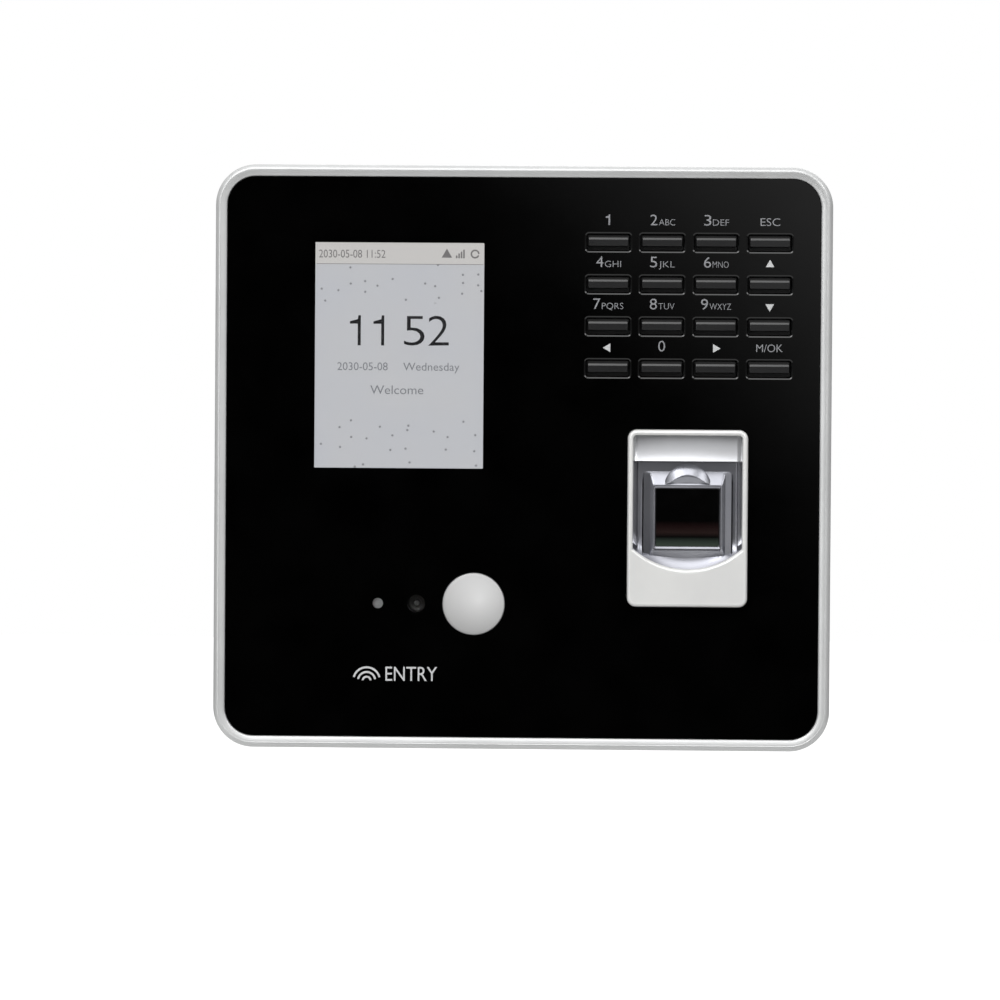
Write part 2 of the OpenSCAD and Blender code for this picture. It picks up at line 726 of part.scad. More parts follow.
module rear_cavity() {
    w = rear_w - 2 * shell_t;
    h = rear_h - 2 * shell_t;
    taper = taper_in * (taper_depth - rear_back - shell_t) / (taper_depth - rear_back);
    slab(taper_depth, split + over) round_rect(w, h, rear_r - shell_t);
    hull() {
        slab(taper_depth, taper_depth + 0.1) round_rect(w, h, rear_r - shell_t, $fn = hull_fn);
        slab(rear_back + shell_t, rear_back + shell_t + 0.1)
            round_rect(w - 2 * taper, h - 2 * taper, rear_r - shell_t - 1, $fn = hull_fn);
    }
}

// Tongue that fits inside the rim of the front housing
module rear_tongue() {
    w = front_w - 2 * shell_t - 2 * snug;
    h = front_h - 2 * shell_t - 2 * snug;
    r = front_r - shell_t - snug;
    slab(split - 1.5, split + 1.9) difference() {
        round_rect(w, h, r);
        round_rect(w - 3, h - 3, r - 1.5);
    }
}

// Openings in the floor of the bay, one per connector
module connector_windows(grow) {
    span([rj[0][0] - grow, rj[0][1] + grow], [rj[1][0] - grow, rj[1][1] + grow]);
    span([jack_box[0][0] - grow, jack_box[0][1] + grow], [jack_box[1][0] - grow, jack_box[1][1] + grow]);
    span([block_x - grow, block_x + block_ways * block_step + 1 + grow],
         [block_z[0] - grow, block_z[1] + grow]);
    span([reset_x - 2.25 - grow, reset_x + 2.25 + grow], [reset_z - 2.25 - grow, reset_z + 2.25 + grow]);
}

module speaker_holes() {
    hole_r = 0.9;
    ring_step = 4.2;
    translate([speaker_x, speaker_z]) {
        circle(hole_r);
        for (ring = [1:3], i = [0:6 * ring - 1])
            rotate(i * 60 / ring) translate([ring * ring_step, 0]) circle(hole_r);
    }
}

module rear_housing() color("#232326") {
    tub = [[-tub_x - shell_t, tub_x + shell_t], [rear_bottom - over, tub_top + shell_t]];
    pad_top = rear_bottom + flap_t + 0.05;
    usb_depth = [board[0] - usb_size[1] - 0.4, board[0] + 0.4];
    // half widths of the pad over the USB flap, of the flap's pocket and of the socket's mouth
    pad_side = 12.4;
    pocket_side = 10.4;
    mouth_side = 7.6;
    // front of the block round the notch for the plate's lip, and of the notch itself
    notch_block = 16.8;
    notch_front = 15;
    // boss of the locking screw, and the length of its threaded hole
    lock_boss_r = 3.2;
    lock_hole = 6.7;
    // slots for the hooks: half width, and how far they reach below the hook
    slot_side = 5.5;
    slot_drop = 6.65;
    difference() {
        union() {
            difference() { rear_outer(); rear_cavity(); }
            rear_tongue();
            intersection() {
                rear_outer();
                union() {
                    block(tub[0], [0, tub_floor[1]], tub[1]);
                    // block round the notch for the plate's lip
                    block([-notch_w / 2 - shell_t, notch_w / 2 + shell_t], [0, notch_block],
                          [rear_bottom - over, notch_roof + shell_t]);
                    // pad over the USB flap
                    block([usb_x - pad_side, usb_x + pad_side], [7, split - 0.1],
                          [rear_bottom - over, pad_top + 1.4]);
                }
            }
            // bay walls and floor
            block([bay_x[0] - bay_wall, bay_x[1] + bay_wall], [tub_floor[0], bay_floor[1]],
                  [bay_z[0] - bay_wall, bay_z[1] + bay_wall]);
            // boss of the locking screw
            translate([0, -lock_depth, notch_roof])
                cylinder(r = lock_boss_r, h = bay_z[0] - bay_wall - notch_roof + 0.2);
            for (at = CORNERS) rod(at, 3.8, [rear_back + 1, corner_meet - 0.1]);
            // collar of the loudspeaker
            slab(tub_floor[1], tub_floor[1] + 4) difference() {
                translate([speaker_x, speaker_z]) circle(speaker_r + 1.7);
                translate([speaker_x, speaker_z]) circle(speaker_r + 0.2);
            }
        }
        // recess for the wall plate, open at the bottom
        block([-tub_x, tub_x], [-over, tub_floor[0]], [rear_bottom - 10, tub_top]);
        block(bay_x, [0, bay_floor[0]], bay_z);
        slab(bay_floor[0] - over, bay_floor[1] + over) connector_windows(0.3);
        block([-notch_w / 2, notch_w / 2], [-over, notch_front], [rear_bottom - over, notch_roof]);
        translate([0, -lock_depth, notch_roof - over]) cylinder(r = lock_r + 0.1, h = lock_hole + over);
        // pocket of the USB flap, and the mouth of the socket
        block([usb_x - pocket_side, usb_x + pocket_side], [flap_hinge - 0.9, flap_front + 0.2],
              [rear_bottom - over, pad_top]);
        block([usb_x - mouth_side, usb_x + mouth_side], usb_depth, [pad_top - over, pad_top + 2]);
        block([usb_x - mouth_side, usb_x + mouth_side], usb_depth, [usb_mouth, pad_top + 5]);
        slab(0, tub_floor[1] + over) speaker_holes();
        rod(tamper, 2, [0, tub_floor[1] + over]);
        // slots for the hooks of the wall plate
        for (sx = [-1, 1], z = hook_z)
            block([sx * hook_x - slot_side, sx * hook_x + slot_side], [0, tub_floor[1] + over],
                  [z - slot_drop, z + plate_t + 0.05]);
        for (at = CORNERS) {
            rod(at, big_screw[0] + 0.25, [0, corner_seat]);
            rod(at, big_screw[2] + 0.3, [corner_seat - over, corner_meet + over]);
        }
    }
}

module housing_screws() color("dimgray") {
    for (at = CORNERS) pan_screw(at, big_screw, corner_seat, 11.5);
}

module board_screws() color("dimgray") {
    for (at = BOARD_HOLES) pan_screw(at, small_screw, board[0], 6);
    for (at = KEYPAD_HOLES) pan_screw(at, small_screw, keypad_board[0], 5.5);
    for (at = READER_HOLES) pan_screw(at, small_screw, reader_board[0], 6);
}

// ---- wall ----

module wall_plate() color("lightgray") {
    finger_h = 5;
    hook_w = 10;
    hook_depth = tub_floor[1] + 0.2;
    cut_x = 46;
    cut_z = [-50, -12];
    lip_x = 9;
    slab(0, plate_t) difference() {
        translate([0, (plate_z[0] + plate_z[1]) / 2])
            round_rect(plate_w, plate_z[1] - plate_z[0], 5);
        translate([0, (cut_z[0] + cut_z[1]) / 2]) round_rect(2 * cut_x, cut_z[1] - cut_z[0], 3);
        for (sx = [-1, 1], sz = [-1, 1])
            translate([sx * screw_span_x / 2, screw_mid_z + sz * screw_span_z / 2]) circle(screw_hole_r);
        for (sx = [-1, 1]) translate([sx * box_span / 2, 22]) circle(2);
        // slot for the tamper plunger, long enough for the lift
        span([tamper[0] - 2.2, tamper[0] + 2.2], [tamper[1] - 2.2, tamper[1] + lift + 2.2]);
    }
    // hooks: a tongue forwards and a finger upwards
    for (sx = [-1, 1], z = hook_z) {
        block([sx * hook_x - hook_w / 2, sx * hook_x + hook_w / 2], [plate_t, hook_depth + plate_t],
              [z, z + plate_t]);
        block([sx * hook_x - hook_w / 2, sx * hook_x + hook_w / 2], [hook_depth, hook_depth + plate_t],
              [z, z + plate_t + finger_h]);
    }
    // lip under the terminal that takes the locking screw
    difference() {
        union() {
            block([-lip_x, lip_x], [0, plate_t], [lip_z[0], plate_z[0] + over]);
            block([-lip_x, lip_x], [0, lip_front], lip_z);
        }
        translate([0, -lock_depth, lip_z[0] - over]) cylinder(r = lock_r + 0.25, h = 4);
    }
}

module locking_screw() color("dimgray") translate([0, -lock_depth, 0]) difference() {
    union() {
        translate([0, 0, lip_z[0] - 2]) cylinder(r = 2.75, h = 2);
        translate([0, 0, lip_z[0]]) cylinder(r = lock_r, h = 7.7);
    }
    for (turn = [0, 90]) translate([0, 0, lip_z[0] - 2]) rotate(turn) cube([3.4, 0.7, 2], center = true);
}

// ---- one line per node ----

wall_plate();
locking_screw();
rear_housing();
front_housing();
front_bezel();
front_lens();
lens_mask();
lens_gasket();
keypad_mat();
keypad_pcb();
lcd_panel();
lcd_backlight();
lcd_bracket();
display_cable();
camera_lens();
camera_holder();
camera_board();
lamp_diffuser();
lamp_reflector();
lamp_board();
light_pipe();
reader_bezel();
reader_cradle();
sensor_window();
reader_optics();
reader_pcb();
reader_cable();
main_pcb();
processor_shield();
clock_battery();
battery_holder();
speaker();
relay();
ethernet_jack();
power_jack();
terminal_block();
usb_socket();
usb_cover();
reset_switch();
reset_button();
tamper_switch();
tamper_plunger();
housing_screws();
board_screws();
for (i = [0:len(KEY_NODES) - 1]) key(i);
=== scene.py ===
import json
import math

import bmesh
import bpy
import numpy as np
from mathutils import Matrix, Vector
from mathutils.geometry import tessellate_polygon


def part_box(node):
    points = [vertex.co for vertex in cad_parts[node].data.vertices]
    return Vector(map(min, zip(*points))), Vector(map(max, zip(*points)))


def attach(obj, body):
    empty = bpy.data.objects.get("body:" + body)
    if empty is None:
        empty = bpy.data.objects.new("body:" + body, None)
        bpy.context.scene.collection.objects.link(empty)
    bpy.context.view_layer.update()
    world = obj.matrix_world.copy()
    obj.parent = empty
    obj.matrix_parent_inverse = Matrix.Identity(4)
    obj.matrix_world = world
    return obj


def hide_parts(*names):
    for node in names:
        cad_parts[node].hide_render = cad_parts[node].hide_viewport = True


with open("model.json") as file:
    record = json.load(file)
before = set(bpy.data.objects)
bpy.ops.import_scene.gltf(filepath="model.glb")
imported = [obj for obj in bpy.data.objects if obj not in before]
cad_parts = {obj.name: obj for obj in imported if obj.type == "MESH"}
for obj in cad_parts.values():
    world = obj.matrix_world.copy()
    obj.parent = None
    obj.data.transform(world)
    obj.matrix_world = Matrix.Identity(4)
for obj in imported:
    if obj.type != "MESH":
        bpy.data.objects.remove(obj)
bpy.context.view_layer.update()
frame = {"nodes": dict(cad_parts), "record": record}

# ---- Studio ----
# A plain white floor well below, under soft lights, with dark space in front so that the gloss face stays
# black. A broad light from above gives the bright upper bevels, and a key light from the upper
# left the lighter inner slopes at the right and below.

def linear(hex_colour):
    """sRGB hex to linear red, green, blue and an alpha of 1: c / 12.92 in the darks, and
    ((c + 0.055) / 1.055) to the power 2.4 above."""
    c = np.array([int(hex_colour[i:i + 2], 16) for i in (1, 3, 5)]) / 255
    return (*np.where(c <= 0.04045, c / 12.92, ((c + 0.055) / 1.055) ** 2.4).tolist(), 1.0)


def add(tree, kind, inputs=None, **settings):
    """Adds a node, sets its properties, and fills each named input with a value or a link."""
    node = tree.nodes.new(kind)
    for key, value in settings.items():
        setattr(node, key, value)
    for key, value in (inputs or {}).items():
        if isinstance(value, bpy.types.NodeSocket):
            tree.links.new(value, node.inputs[key])
        else:
            node.inputs[key].default_value = value
    return node


scene = bpy.context.scene
scene.view_settings.view_transform = "Standard"
scene.view_settings.look = "None"

world = bpy.data.worlds.new("studio")
scene.world = world
world.use_nodes = True
sky = world.node_tree
sky.nodes.clear()
direction = add(sky, "ShaderNodeSeparateXYZ", {0: add(sky, "ShaderNodeTexCoord").outputs["Generated"]})
# room light: darker at the sides, brighter above, with the pale floor below
below = add(sky, "ShaderNodeMapRange", {"Value": direction.outputs["Z"], "From Min": -0.12, "From Max": -0.4,
                                        "To Min": 0.0, "To Max": 0.85}, clamp=True)
room = add(sky, "ShaderNodeMapRange", {"Value": direction.outputs["Z"], "From Min": -0.1, "From Max": 0.9,
                                       "To Min": 0.1, "To Max": 0.9}, clamp=True)
# the dark space in front, with a faint glow towards the upper right
glow = add(sky, "ShaderNodeMath", {0: direction.outputs["X"], 1: direction.outputs["Z"]}, operation="ADD")
glow = add(sky, "ShaderNodeMapRange", {"Value": glow.outputs[0], "From Min": 0.0, "From Max": 0.2,
                                       "To Min": 0.0, "To Max": 0.85}, clamp=True,
           interpolation_type="SMOOTHSTEP")
room = add(sky, "ShaderNodeMath", {0: room.outputs[0], 1: below.outputs[0]}, operation="ADD")
ahead = add(sky, "ShaderNodeMapRange", {"Value": direction.outputs["Y"], "From Min": -0.93, "From Max": -0.6},
            clamp=True, interpolation_type="SMOOTHSTEP")
level = add(sky, "ShaderNodeMix", {"Factor": ahead.outputs[0], "A": glow.outputs[0], "B": room.outputs[0]})
around = add(sky, "ShaderNodeBackground", {"Color": (1, 1, 1, 1), "Strength": level.outputs[0]})
plain = add(sky, "ShaderNodeBackground", {"Color": (1, 1, 1, 1), "Strength": 1.0})
paths = add(sky, "ShaderNodeLightPath")
both = add(sky, "ShaderNodeMixShader", {0: paths.outputs["Is Camera Ray"], 1: around.outputs[0],
                                        2: plain.outputs[0]})
add(sky, "ShaderNodeOutputWorld", {"Surface": both.outputs[0]})


def softbox(name, at, size, radiance, target=(0, -0.03, 0)):
    """A rectangular area light of the given radiance: its power is pi times radiance times area."""
    light = bpy.data.lights.new(name, "AREA")
    light.shape = "RECTANGLE"
    light.size, light.size_y = size
    light.energy = math.pi * radiance * size[0] * size[1]
    holder = bpy.data.objects.new(name, light)
    holder.location = at
    holder.rotation_euler = (Vector(target) - Vector(at)).to_track_quat("-Z", "Y").to_euler()
    holder.visible_camera = False
    scene.collection.objects.link(holder)


def blank(name):
    """A new material without nodes, and its empty node tree."""
    made = bpy.data.materials.new(name)
    made.use_nodes = True
    made.node_tree.nodes.clear()
    return made, made.node_tree


softbox("light_above", (-0.1, -0.85, 1.15), (1.3, 0.8), 2.5)
softbox("light_key", (-0.62, -0.95, 0.98), (0.6, 0.6), 3.8)
softbox("light_left", (-0.62, -0.8, 0.1), (0.25, 0.9), 3.0)
softbox("light_fill", (0.95, -0.8, 0.75), (0.5, 0.5), 4.2)
softbox("light_back", (0.3, 1.1, 0.7), (0.9, 0.7), 1.5)

floor_mesh = bpy.data.meshes.new("floor")
FLOOR_HALF, FLOOR_Z = 6.0, -0.42
floor_mesh.from_pydata([(x * FLOOR_HALF, y * FLOOR_HALF, FLOOR_Z)
                        for x, y in ((-1, -1), (1, -1), (1, 1), (-1, 1))], [], [(0, 1, 2, 3)])
floor = bpy.data.objects.new("floor", floor_mesh)
scene.collection.objects.link(floor)
floor_paint, tree = blank("floor_paint")
speckle = add(tree, "ShaderNodeTexNoise", {"Vector": add(tree, "ShaderNodeTexCoord").outputs["Object"],
                                           "Scale": 30.0})
paper = add(tree, "ShaderNodeMix", {"Factor": speckle.outputs["Fac"], "A": linear("#B4B4B3"),
                                    "B": linear("#B8B8B7")}, data_type="RGBA")
seen = add(tree, "ShaderNodeMath", {0: add(tree, "ShaderNodeLightPath").outputs["Is Camera Ray"], 1: 0.8},
           operation="MULTIPLY")
shade = add(tree, "ShaderNodeBsdfPrincipled", {"Base Color": paper.outputs["Result"], "Roughness": 0.9,
                                               "Emission Color": (1, 1, 1, 1),
                                               "Emission Strength": seen.outputs[0]})
add(tree, "ShaderNodeOutputMaterial", {"Surface": shade.outputs[0]})
floor_mesh.materials.append(floor_paint)
# the gloss face doesn't mirror the floor, so that it stays black
floor.visible_glossy = False

# ---- Camera ----
# A long lens one metre away, a little to the right of the middle and above it, and turned by less
# than half a degree.
camera = bpy.data.objects.new("camera", bpy.data.cameras.new("camera"))
scene.collection.objects.link(camera)
azimuth, elevation, roll = (math.radians(a) for a in (1.21, 0.89, 0.40))
back = Vector((math.sin(azimuth) * math.cos(elevation), -math.cos(azimuth) * math.cos(elevation),
               math.sin(elevation)))
right = Vector((math.cos(azimuth), math.sin(azimuth), 0))
up = back.cross(right)
turned_right = right * math.cos(roll) + up * math.sin(roll)
turned_up = up * math.cos(roll) - right * math.sin(roll)
place = Matrix((turned_right, turned_up, back)).transposed().to_4x4()
place.translation = Vector((0, -0.0294, 0)) + back
camera.matrix_world = place
camera.data.sensor_width = 36
camera.data.lens = 141.1
camera.data.shift_x, camera.data.shift_y = -0.0223, -0.0421
camera.data.clip_start, camera.data.clip_end = 0.05, 30
scene.camera = camera

# ---- Silver rim ----
# A ring of ABS, lacquered silver, that frames the face. Its outer edge is bevelled, a fine groove
# runs round the middle, and the inner side slopes down to the panel.

def extent(node):
    """Centre (x, z), width and height of a CAD node in the front view, in millimetres."""
    low, high = (np.array(corner) * 1000 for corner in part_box(node))
    middle = (low + high) / 2
    return (float(middle[0]), float(middle[2])), float(high[0] - low[0]), float(high[2] - low[2])


def loop(w, h, r, centre=(0, 0), arc=10):
    """Anticlockwise points round a rounded rectangle: centre plus the corner's centre plus
    r times the cosine and sine of the angle, over each corner's quarter turn."""
    r = max(r, 1e-4)
    turn = np.arange(4)[:, None] * np.pi / 2 + np.linspace(0, np.pi / 2, arc + 1)
    x = (w / 2 - r) * np.array([1, -1, -1, 1])[:, None] + r * np.cos(turn)
    z = (h / 2 - r) * np.array([1, 1, -1, -1])[:, None] + r * np.sin(turn)
    return np.stack([x.ravel() + centre[0], z.ravel() + centre[1]], -1)


def at_depth(xz, depth):
    """Points in metres from front-view millimetres and distances from the wall: (x, -depth, z) / 1000."""
    return np.stack([xz[..., 0], -depth + 0 * xz[..., 0], xz[..., 1]], -1) / 1000


def strip(rows, cols, closed_rows=False):
    """Quads between neighbouring rows of a grid whose columns run round in a ring."""
    i = np.arange(rows if closed_rows else rows - 1)[:, None]
    j = np.arange(cols)[None, :]
    i2, j2 = (i + 1) % rows, (j + 1) % cols
    return np.stack([i * cols + j, i * cols + j2, i2 * cols + j2, i2 * cols + j], -1).reshape(-1, 4)


def stack(levels, ring=False, arc=10):
    """A closed skin through rounded rectangles (w, h, r, centre, depth), one per level: the last is
    joined to the first for a ring, and otherwise both ends are closed flat."""
    points = np.concatenate([at_depth(loop(w, h, r, c, arc), d) for w, h, r, c, d in levels])
    n = 4 * (arc + 1)
    faces = [strip(len(levels), n, ring)]
    if not ring:
        faces += [np.arange(n)[None, ::-1], (np.arange(n) + n * (len(levels) - 1))[None]]
    return points, faces


def outward(points, faces):
    """Faces of a closed skin, turned so that they look outwards: the sum of a . (b x c) over the
    fan of every face is six times the volume, and a negative sum flips them all."""
    fans = [points[f] for f in faces]
    volume = sum(np.einsum("kni,kni->", p[:, :1] + 0 * p[:, 2:], np.cross(p[:, 1:-1], p[:, 2:]))
                 for p in fans)
    return faces if volume > 0 else [f[:, ::-1] for f in faces]


def build(name, skins, material, body="terminal", replaces=(), crease=32):
    """One object from closed skins. Edges sharper than the crease angle, in degrees, stay sharp."""
    points, faces, start = [], [], 0
    for p, f in skins:
        for group in outward(p, f):
            faces += (group + start).tolist()
        points.append(p)
        start += len(p)
    mesh = bpy.data.meshes.new(name)
    mesh.from_pydata(np.concatenate(points).tolist(), [], faces)
    mesh.shade_smooth()
    mesh.set_sharp_from_angle(angle=math.radians(crease))
    mesh.materials.append(material)
    made = bpy.data.objects.new(name, mesh)
    scene.collection.objects.link(made)
    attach(made, body)
    if replaces:
        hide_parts(*replaces)
    return made


def surface(name, shades, roughness, grain, spread=0.012, bump=0.1, metallic=0.0, coat=0.0, wear=0.05,
            edge=0.0, ior=1.5):
    """A finish that is the same in every direction. A noise with spots of size spread wanders
    between two shades, and one of size grain, both in metres, lifts the surface by bump times a
    hundredth of a millimetre and moves the roughness by wear either way. Edges are shaded as if
    rounded to the radius edge, in metres."""
    made, tree = blank(name)
    where = add(tree, "ShaderNodeTexCoord").outputs["Object"]
    broad = add(tree, "ShaderNodeTexNoise", {"Vector": where, "Scale": 1 / spread, "Detail": 3.0})
    fine = add(tree, "ShaderNodeTexNoise", {"Vector": where, "Scale": 1 / grain, "Detail": 2.0})
    blend = add(tree, "ShaderNodeMapRange", {"Value": broad.outputs["Fac"], "From Min": 0.3, "From Max": 0.7})
    colour = add(tree, "ShaderNodeMix", {"Factor": blend.outputs[0], "A": linear(shades[0]),
                                         "B": linear(shades[1])}, data_type="RGBA")
    rough = add(tree, "ShaderNodeMapRange", {"Value": fine.outputs["Fac"], "From Min": 0.25, "From Max": 0.75,
                                             "To Min": max(roughness - wear, 0.02),
                                             "To Max": roughness + wear})
    relief = {"Height": fine.outputs["Fac"], "Strength": 1.0, "Distance": bump * 1e-5}
    if edge:
        relief["Normal"] = add(tree, "ShaderNodeBevel", {"Radius": edge}, samples=6).outputs[0]
    lift = add(tree, "ShaderNodeBump", relief)
    shade = add(tree, "ShaderNodeBsdfPrincipled", {
        "Base Color": colour.outputs["Result"], "Roughness": rough.outputs[0], "Metallic": metallic,
        "IOR": ior, "Coat Weight": coat, "Coat Roughness": 0.08, "Normal": lift.outputs[0]})
    add(tree, "ShaderNodeOutputMaterial", {"Surface": shade.outputs[0]})
    return made


_, BODY_W, BODY_H = extent("front_bezel")
CORNER_R = 10.3
# silver lacquer on ABS: fine metal flake under a satin clear coat, so over half of it is diffuse
silver_lacquer = surface("silver_lacquer_abs", ("#C6C7C7", "#CECFCF"), 0.42, 0.00012, bump=0.12,
                         metallic=0.42, coat=0.25, wear=0.04)
# section of the rim: distance in from the outer edge, distance from the wall
rim_section = np.array([
    [0.0, 22.1], [0.0, 28.35], [0.06, 28.75], [0.25, 29.15], [0.62, 29.62], [0.9, 29.86], [1.12, 29.96],
    [1.32, 29.98], [1.42, 29.9], [1.5, 29.88], [1.58, 29.88], [1.68, 29.86], [1.95, 29.8], [2.3, 29.68],
    [2.6, 29.55], [2.85, 29.4], [2.97, 29.22], [3.0, 29.0], [3.0, 27.15], [1.5, 27.15], [1.5, 22.1]])
rim_levels = [(BODY_W - 2 * e, BODY_H - 2 * e, CORNER_R - e, (0, 0), d) for e, d in rim_section]
build("silver_rim", [stack(rim_levels, ring=True, arc=24)], silver_lacquer, replaces=["front_bezel"],
      crease=40)

# ---- Front panel ----
# One sheet of acrylic, 1.8 mm thick, printed black from behind and cut out for the keys, the reader
# and the lamp. The edges of its openings are chamfered, and clear places show the display,
# camera and indicator.

def plate(outline, holes, back, front, chamfers=(), arc=8):
    """A flat plate with holes, all rounded rectangles (w, h, r, centre). Four loops run down each
    edge, drawn in by a chamfer's width over its depth at both faces, and triangles between the
    end loops close them. The chamfers belong to the first holes."""
    cuts = [(0, 0), *chamfers] + [(0, 0)] * (len(holes) - len(chamfers))
    drawn = [(outline, 1)] + [(hole, -1) for hole in holes]
    points, faces, fronts, start, n = [], [], [], 0, 4 * (arc + 1)
    for ((w, h, r, c), side), (wide, deep) in zip(drawn, cuts):
        for inset, d in ((wide, back), (0, back + deep), (0, front - deep), (wide, front)):
            edge = loop(w - 2 * side * inset, h - 2 * side * inset, r - side * inset, c, arc)
            points.append(at_depth(edge, d))
        quads = strip(4, n) + start
        faces.append(quads if side > 0 else quads[:, ::-1])
        fronts.append(np.arange(n) + start + 3 * n)
        start += 4 * n
    points, rim = np.concatenate(points), np.concatenate(fronts)
    ends = [[Vector((p[0] * 1000, p[2] * 1000, 0)) for p in points[f]] for f in fronts]
    cap = rim[np.array(tessellate_polygon(ends))]
    a, b, c = (points[cap[:, k]][:, [0, 2]] for k in range(3))
    area = (b - a)[:, 0] * (c - a)[:, 1] - (b - a)[:, 1] * (c - a)[:, 0]
    cap = np.where(area[:, None] > 0, cap, cap[:, ::-1])
    faces += [cap, cap[:, ::-1] - 3 * n]
    return points, faces


def disc(radius, centre):
    """A circle, as a rounded rectangle whose sides are its diameter."""
    return (2 * radius, 2 * radius, radius, centre)


panel_c, PANEL_W, PANEL_H = extent("front_lens")
PANEL = (PANEL_W, PANEL_H, CORNER_R - 3.15, panel_c)
LENS_BACK, LENS_FRONT = 27.6, 29.4
# openings (width, height, corner radius), and the chamfer of a key slot (width, depth)
KEY_SLOT, READER_OPENING, LAMP_OPENING_R = (11.5, 4.6, 0.8), (31.1, 45.6, 2.55), 8.1
SLOT_CHAMFER = (0.3, 0.16)
CAMERA_WINDOW_R, PIPE_WINDOW_R = 2.3, 1.35
key_nodes = ["key_1", "key_2", "key_3", "key_esc", "key_4", "key_5", "key_6", "key_up", "key_7", "key_8",
             "key_9", "key_down", "key_left", "key_0", "key_right", "key_ok"]
key_centres = [extent(node)[0] for node in key_nodes]
lamp_c, camera_c, pipe_c = (extent(node)[0] for node in ("lamp_diffuser", "camera_lens", "light_pipe"))
READER = extent("reader_bezel")[0]
SCREEN_C, SCREEN_W, SCREEN_H = extent("lcd_panel")[0], 43.2, 57.6
clear_places = [(SCREEN_W, SCREEN_H, 0.3, SCREEN_C), disc(CAMERA_WINDOW_R, camera_c),
                disc(PIPE_WINDOW_R, pipe_c)]
slots = [(*KEY_SLOT, c) for c in key_centres]
openings = slots + [(*READER_OPENING, READER), disc(LAMP_OPENING_R, lamp_c)] + clear_places
# acrylic printed black from behind: deep black under a polished surface of index 1.49
black_panel = surface("acrylic_printed_black", ("#010101", "#030303"), 0.05, 0.0009, bump=0.0, wear=0.015,
                      ior=1.49)
build("front_panel", [plate(PANEL, openings, LENS_BACK, LENS_FRONT, [SLOT_CHAMFER] * len(slots))],
      black_panel, replaces=["front_lens"], crease=20)

# the clear places of the same sheet: water-clear acrylic
clear_acrylic, tree = blank("acrylic_clear")
smudge = add(tree, "ShaderNodeTexNoise", {"Vector": add(tree, "ShaderNodeTexCoord").outputs["Object"],
                                          "Scale": 90.0, "Detail": 3.0})
rub = add(tree, "ShaderNodeMapRange", {"Value": smudge.outputs["Fac"], "To Min": 0.0, "To Max": 0.04})
shade = add(tree, "ShaderNodeBsdfPrincipled", {"Base Color": linear("#FFFFFF"), "Roughness": rub.outputs[0],
                                               "IOR": 1.49, "Transmission Weight": 1.0})
add(tree, "ShaderNodeOutputMaterial", {"Surface": shade.outputs[0]})
build("clear_windows", [plate(c, [], LENS_BACK, LENS_FRONT) for c in clear_places], clear_acrylic)

# ---- Keys ----
# Sixteen bars of satin black ABS, each moulded with a flange behind the panel and a post that
# presses its switch. The top edge of each bar is bevelled, and catches the light.

def cap_levels(c):
    """Levels of one key from the flange forwards: straight walls, a ledge, then a bar with a tall
    upper bevel and hardly any lower one."""
    def at(w, h, r, rise, d):
        return (w, h, r, (c[0], c[1] + rise), d)
    return [at(10.9, 4.0, 0.4, 0, 24.6), at(10.9, 4.0, 0.4, 0, 26.7), at(10.7, 3.8, 0.4, 0, 26.9),
            at(10.32, 2.25, 0.35, 0.15, 26.95), at(10.25, 2.15, 0.35, 0.17, 28.95),
            at(10.15, 2.08, 0.3, 0.16, 29.42), at(10.0, 1.6, 0.2, -0.05, 29.66),
            at(9.85, 1.5, 0.15, -0.06, 29.7)]


# satin black ABS, spark-eroded mould: a fine grain that spreads the highlight along the bevel
key_abs = surface("satin_black_abs_key", ("#111112", "#171718"), 0.3, 0.00009, bump=0.5, wear=0.05,
                  coat=0.15)
for node, c in zip(key_nodes, key_centres):
    flange = [(12.3, 5.8, 0.6, c, d) for d in (24.05, 25.05)]
    post = [(*disc(r, c), d) for r, d in ((1.8, 22.2), (2.0, 22.4), (2.0, 24.2))]
    build(node + "_cap", [stack(cap_levels(c), arc=5), stack(flange, arc=4), stack(post, arc=5)], key_abs,
          body=node, replaces=[node], crease=25)

# ---- Legends ----
# Light grey screen print on the face: figures with small letters above their keys, four arrows,
# and a plain mark of nested arcs with the word entry, low at the left.

def letter_mesh(words, weight=0.0):
    """Points and triangles of words in the built-in font, in the font's own size. The strokes grow
    by weight on every side."""
    curve = bpy.data.curves.new("words", "FONT")
    curve.body, curve.align_x, curve.extrude, curve.offset = words, "CENTER", 0.01, weight
    curve.resolution_u = 4
    text = bpy.data.objects.new("words", curve)
    scene.collection.objects.link(text)
    mesh = bpy.data.meshes.new_from_object(text.evaluated_get(bpy.context.evaluated_depsgraph_get()))
    bpy.data.objects.remove(text)
    clean = bmesh.new()
    clean.from_mesh(mesh)
    bmesh.ops.remove_doubles(clean, verts=clean.verts, dist=1e-5)
    bmesh.ops.triangulate(clean, faces=clean.faces)
    clean.to_mesh(mesh)
    clean.free()
    p = np.empty(len(mesh.vertices) * 3)
    mesh.vertices.foreach_get("co", p)
    f = np.empty(len(mesh.polygons) * 3, int)
    mesh.polygons.foreach_get("vertices", f)
    bpy.data.meshes.remove(mesh)
    return p.reshape(-1, 3), f.reshape(-1, 3)


CAPITAL = np.ptp(letter_mesh("H")[0][:, 1])


def flat_words(words, height, at, depth, width, thick=0.02, weight=0.0):
    """Lettering as closed skins, scaled so that a capital H has the height and the words the width.
    It is centred on at sideways with its foot at at's height, and thick from depth forwards."""
    p, f = letter_mesh(words, weight)
    scale = height / CAPITAL
    across = width / np.ptp(p[:, 0])
    middle = (p[:, 0].min() + p[:, 0].max()) / 2
    xz = np.stack([(p[:, 0] - middle) * across + at[0], p[:, 1] * scale + at[1]], -1)
    return at_depth(xz, depth + np.where(p[:, 2] > 0, thick, 0)), [f]


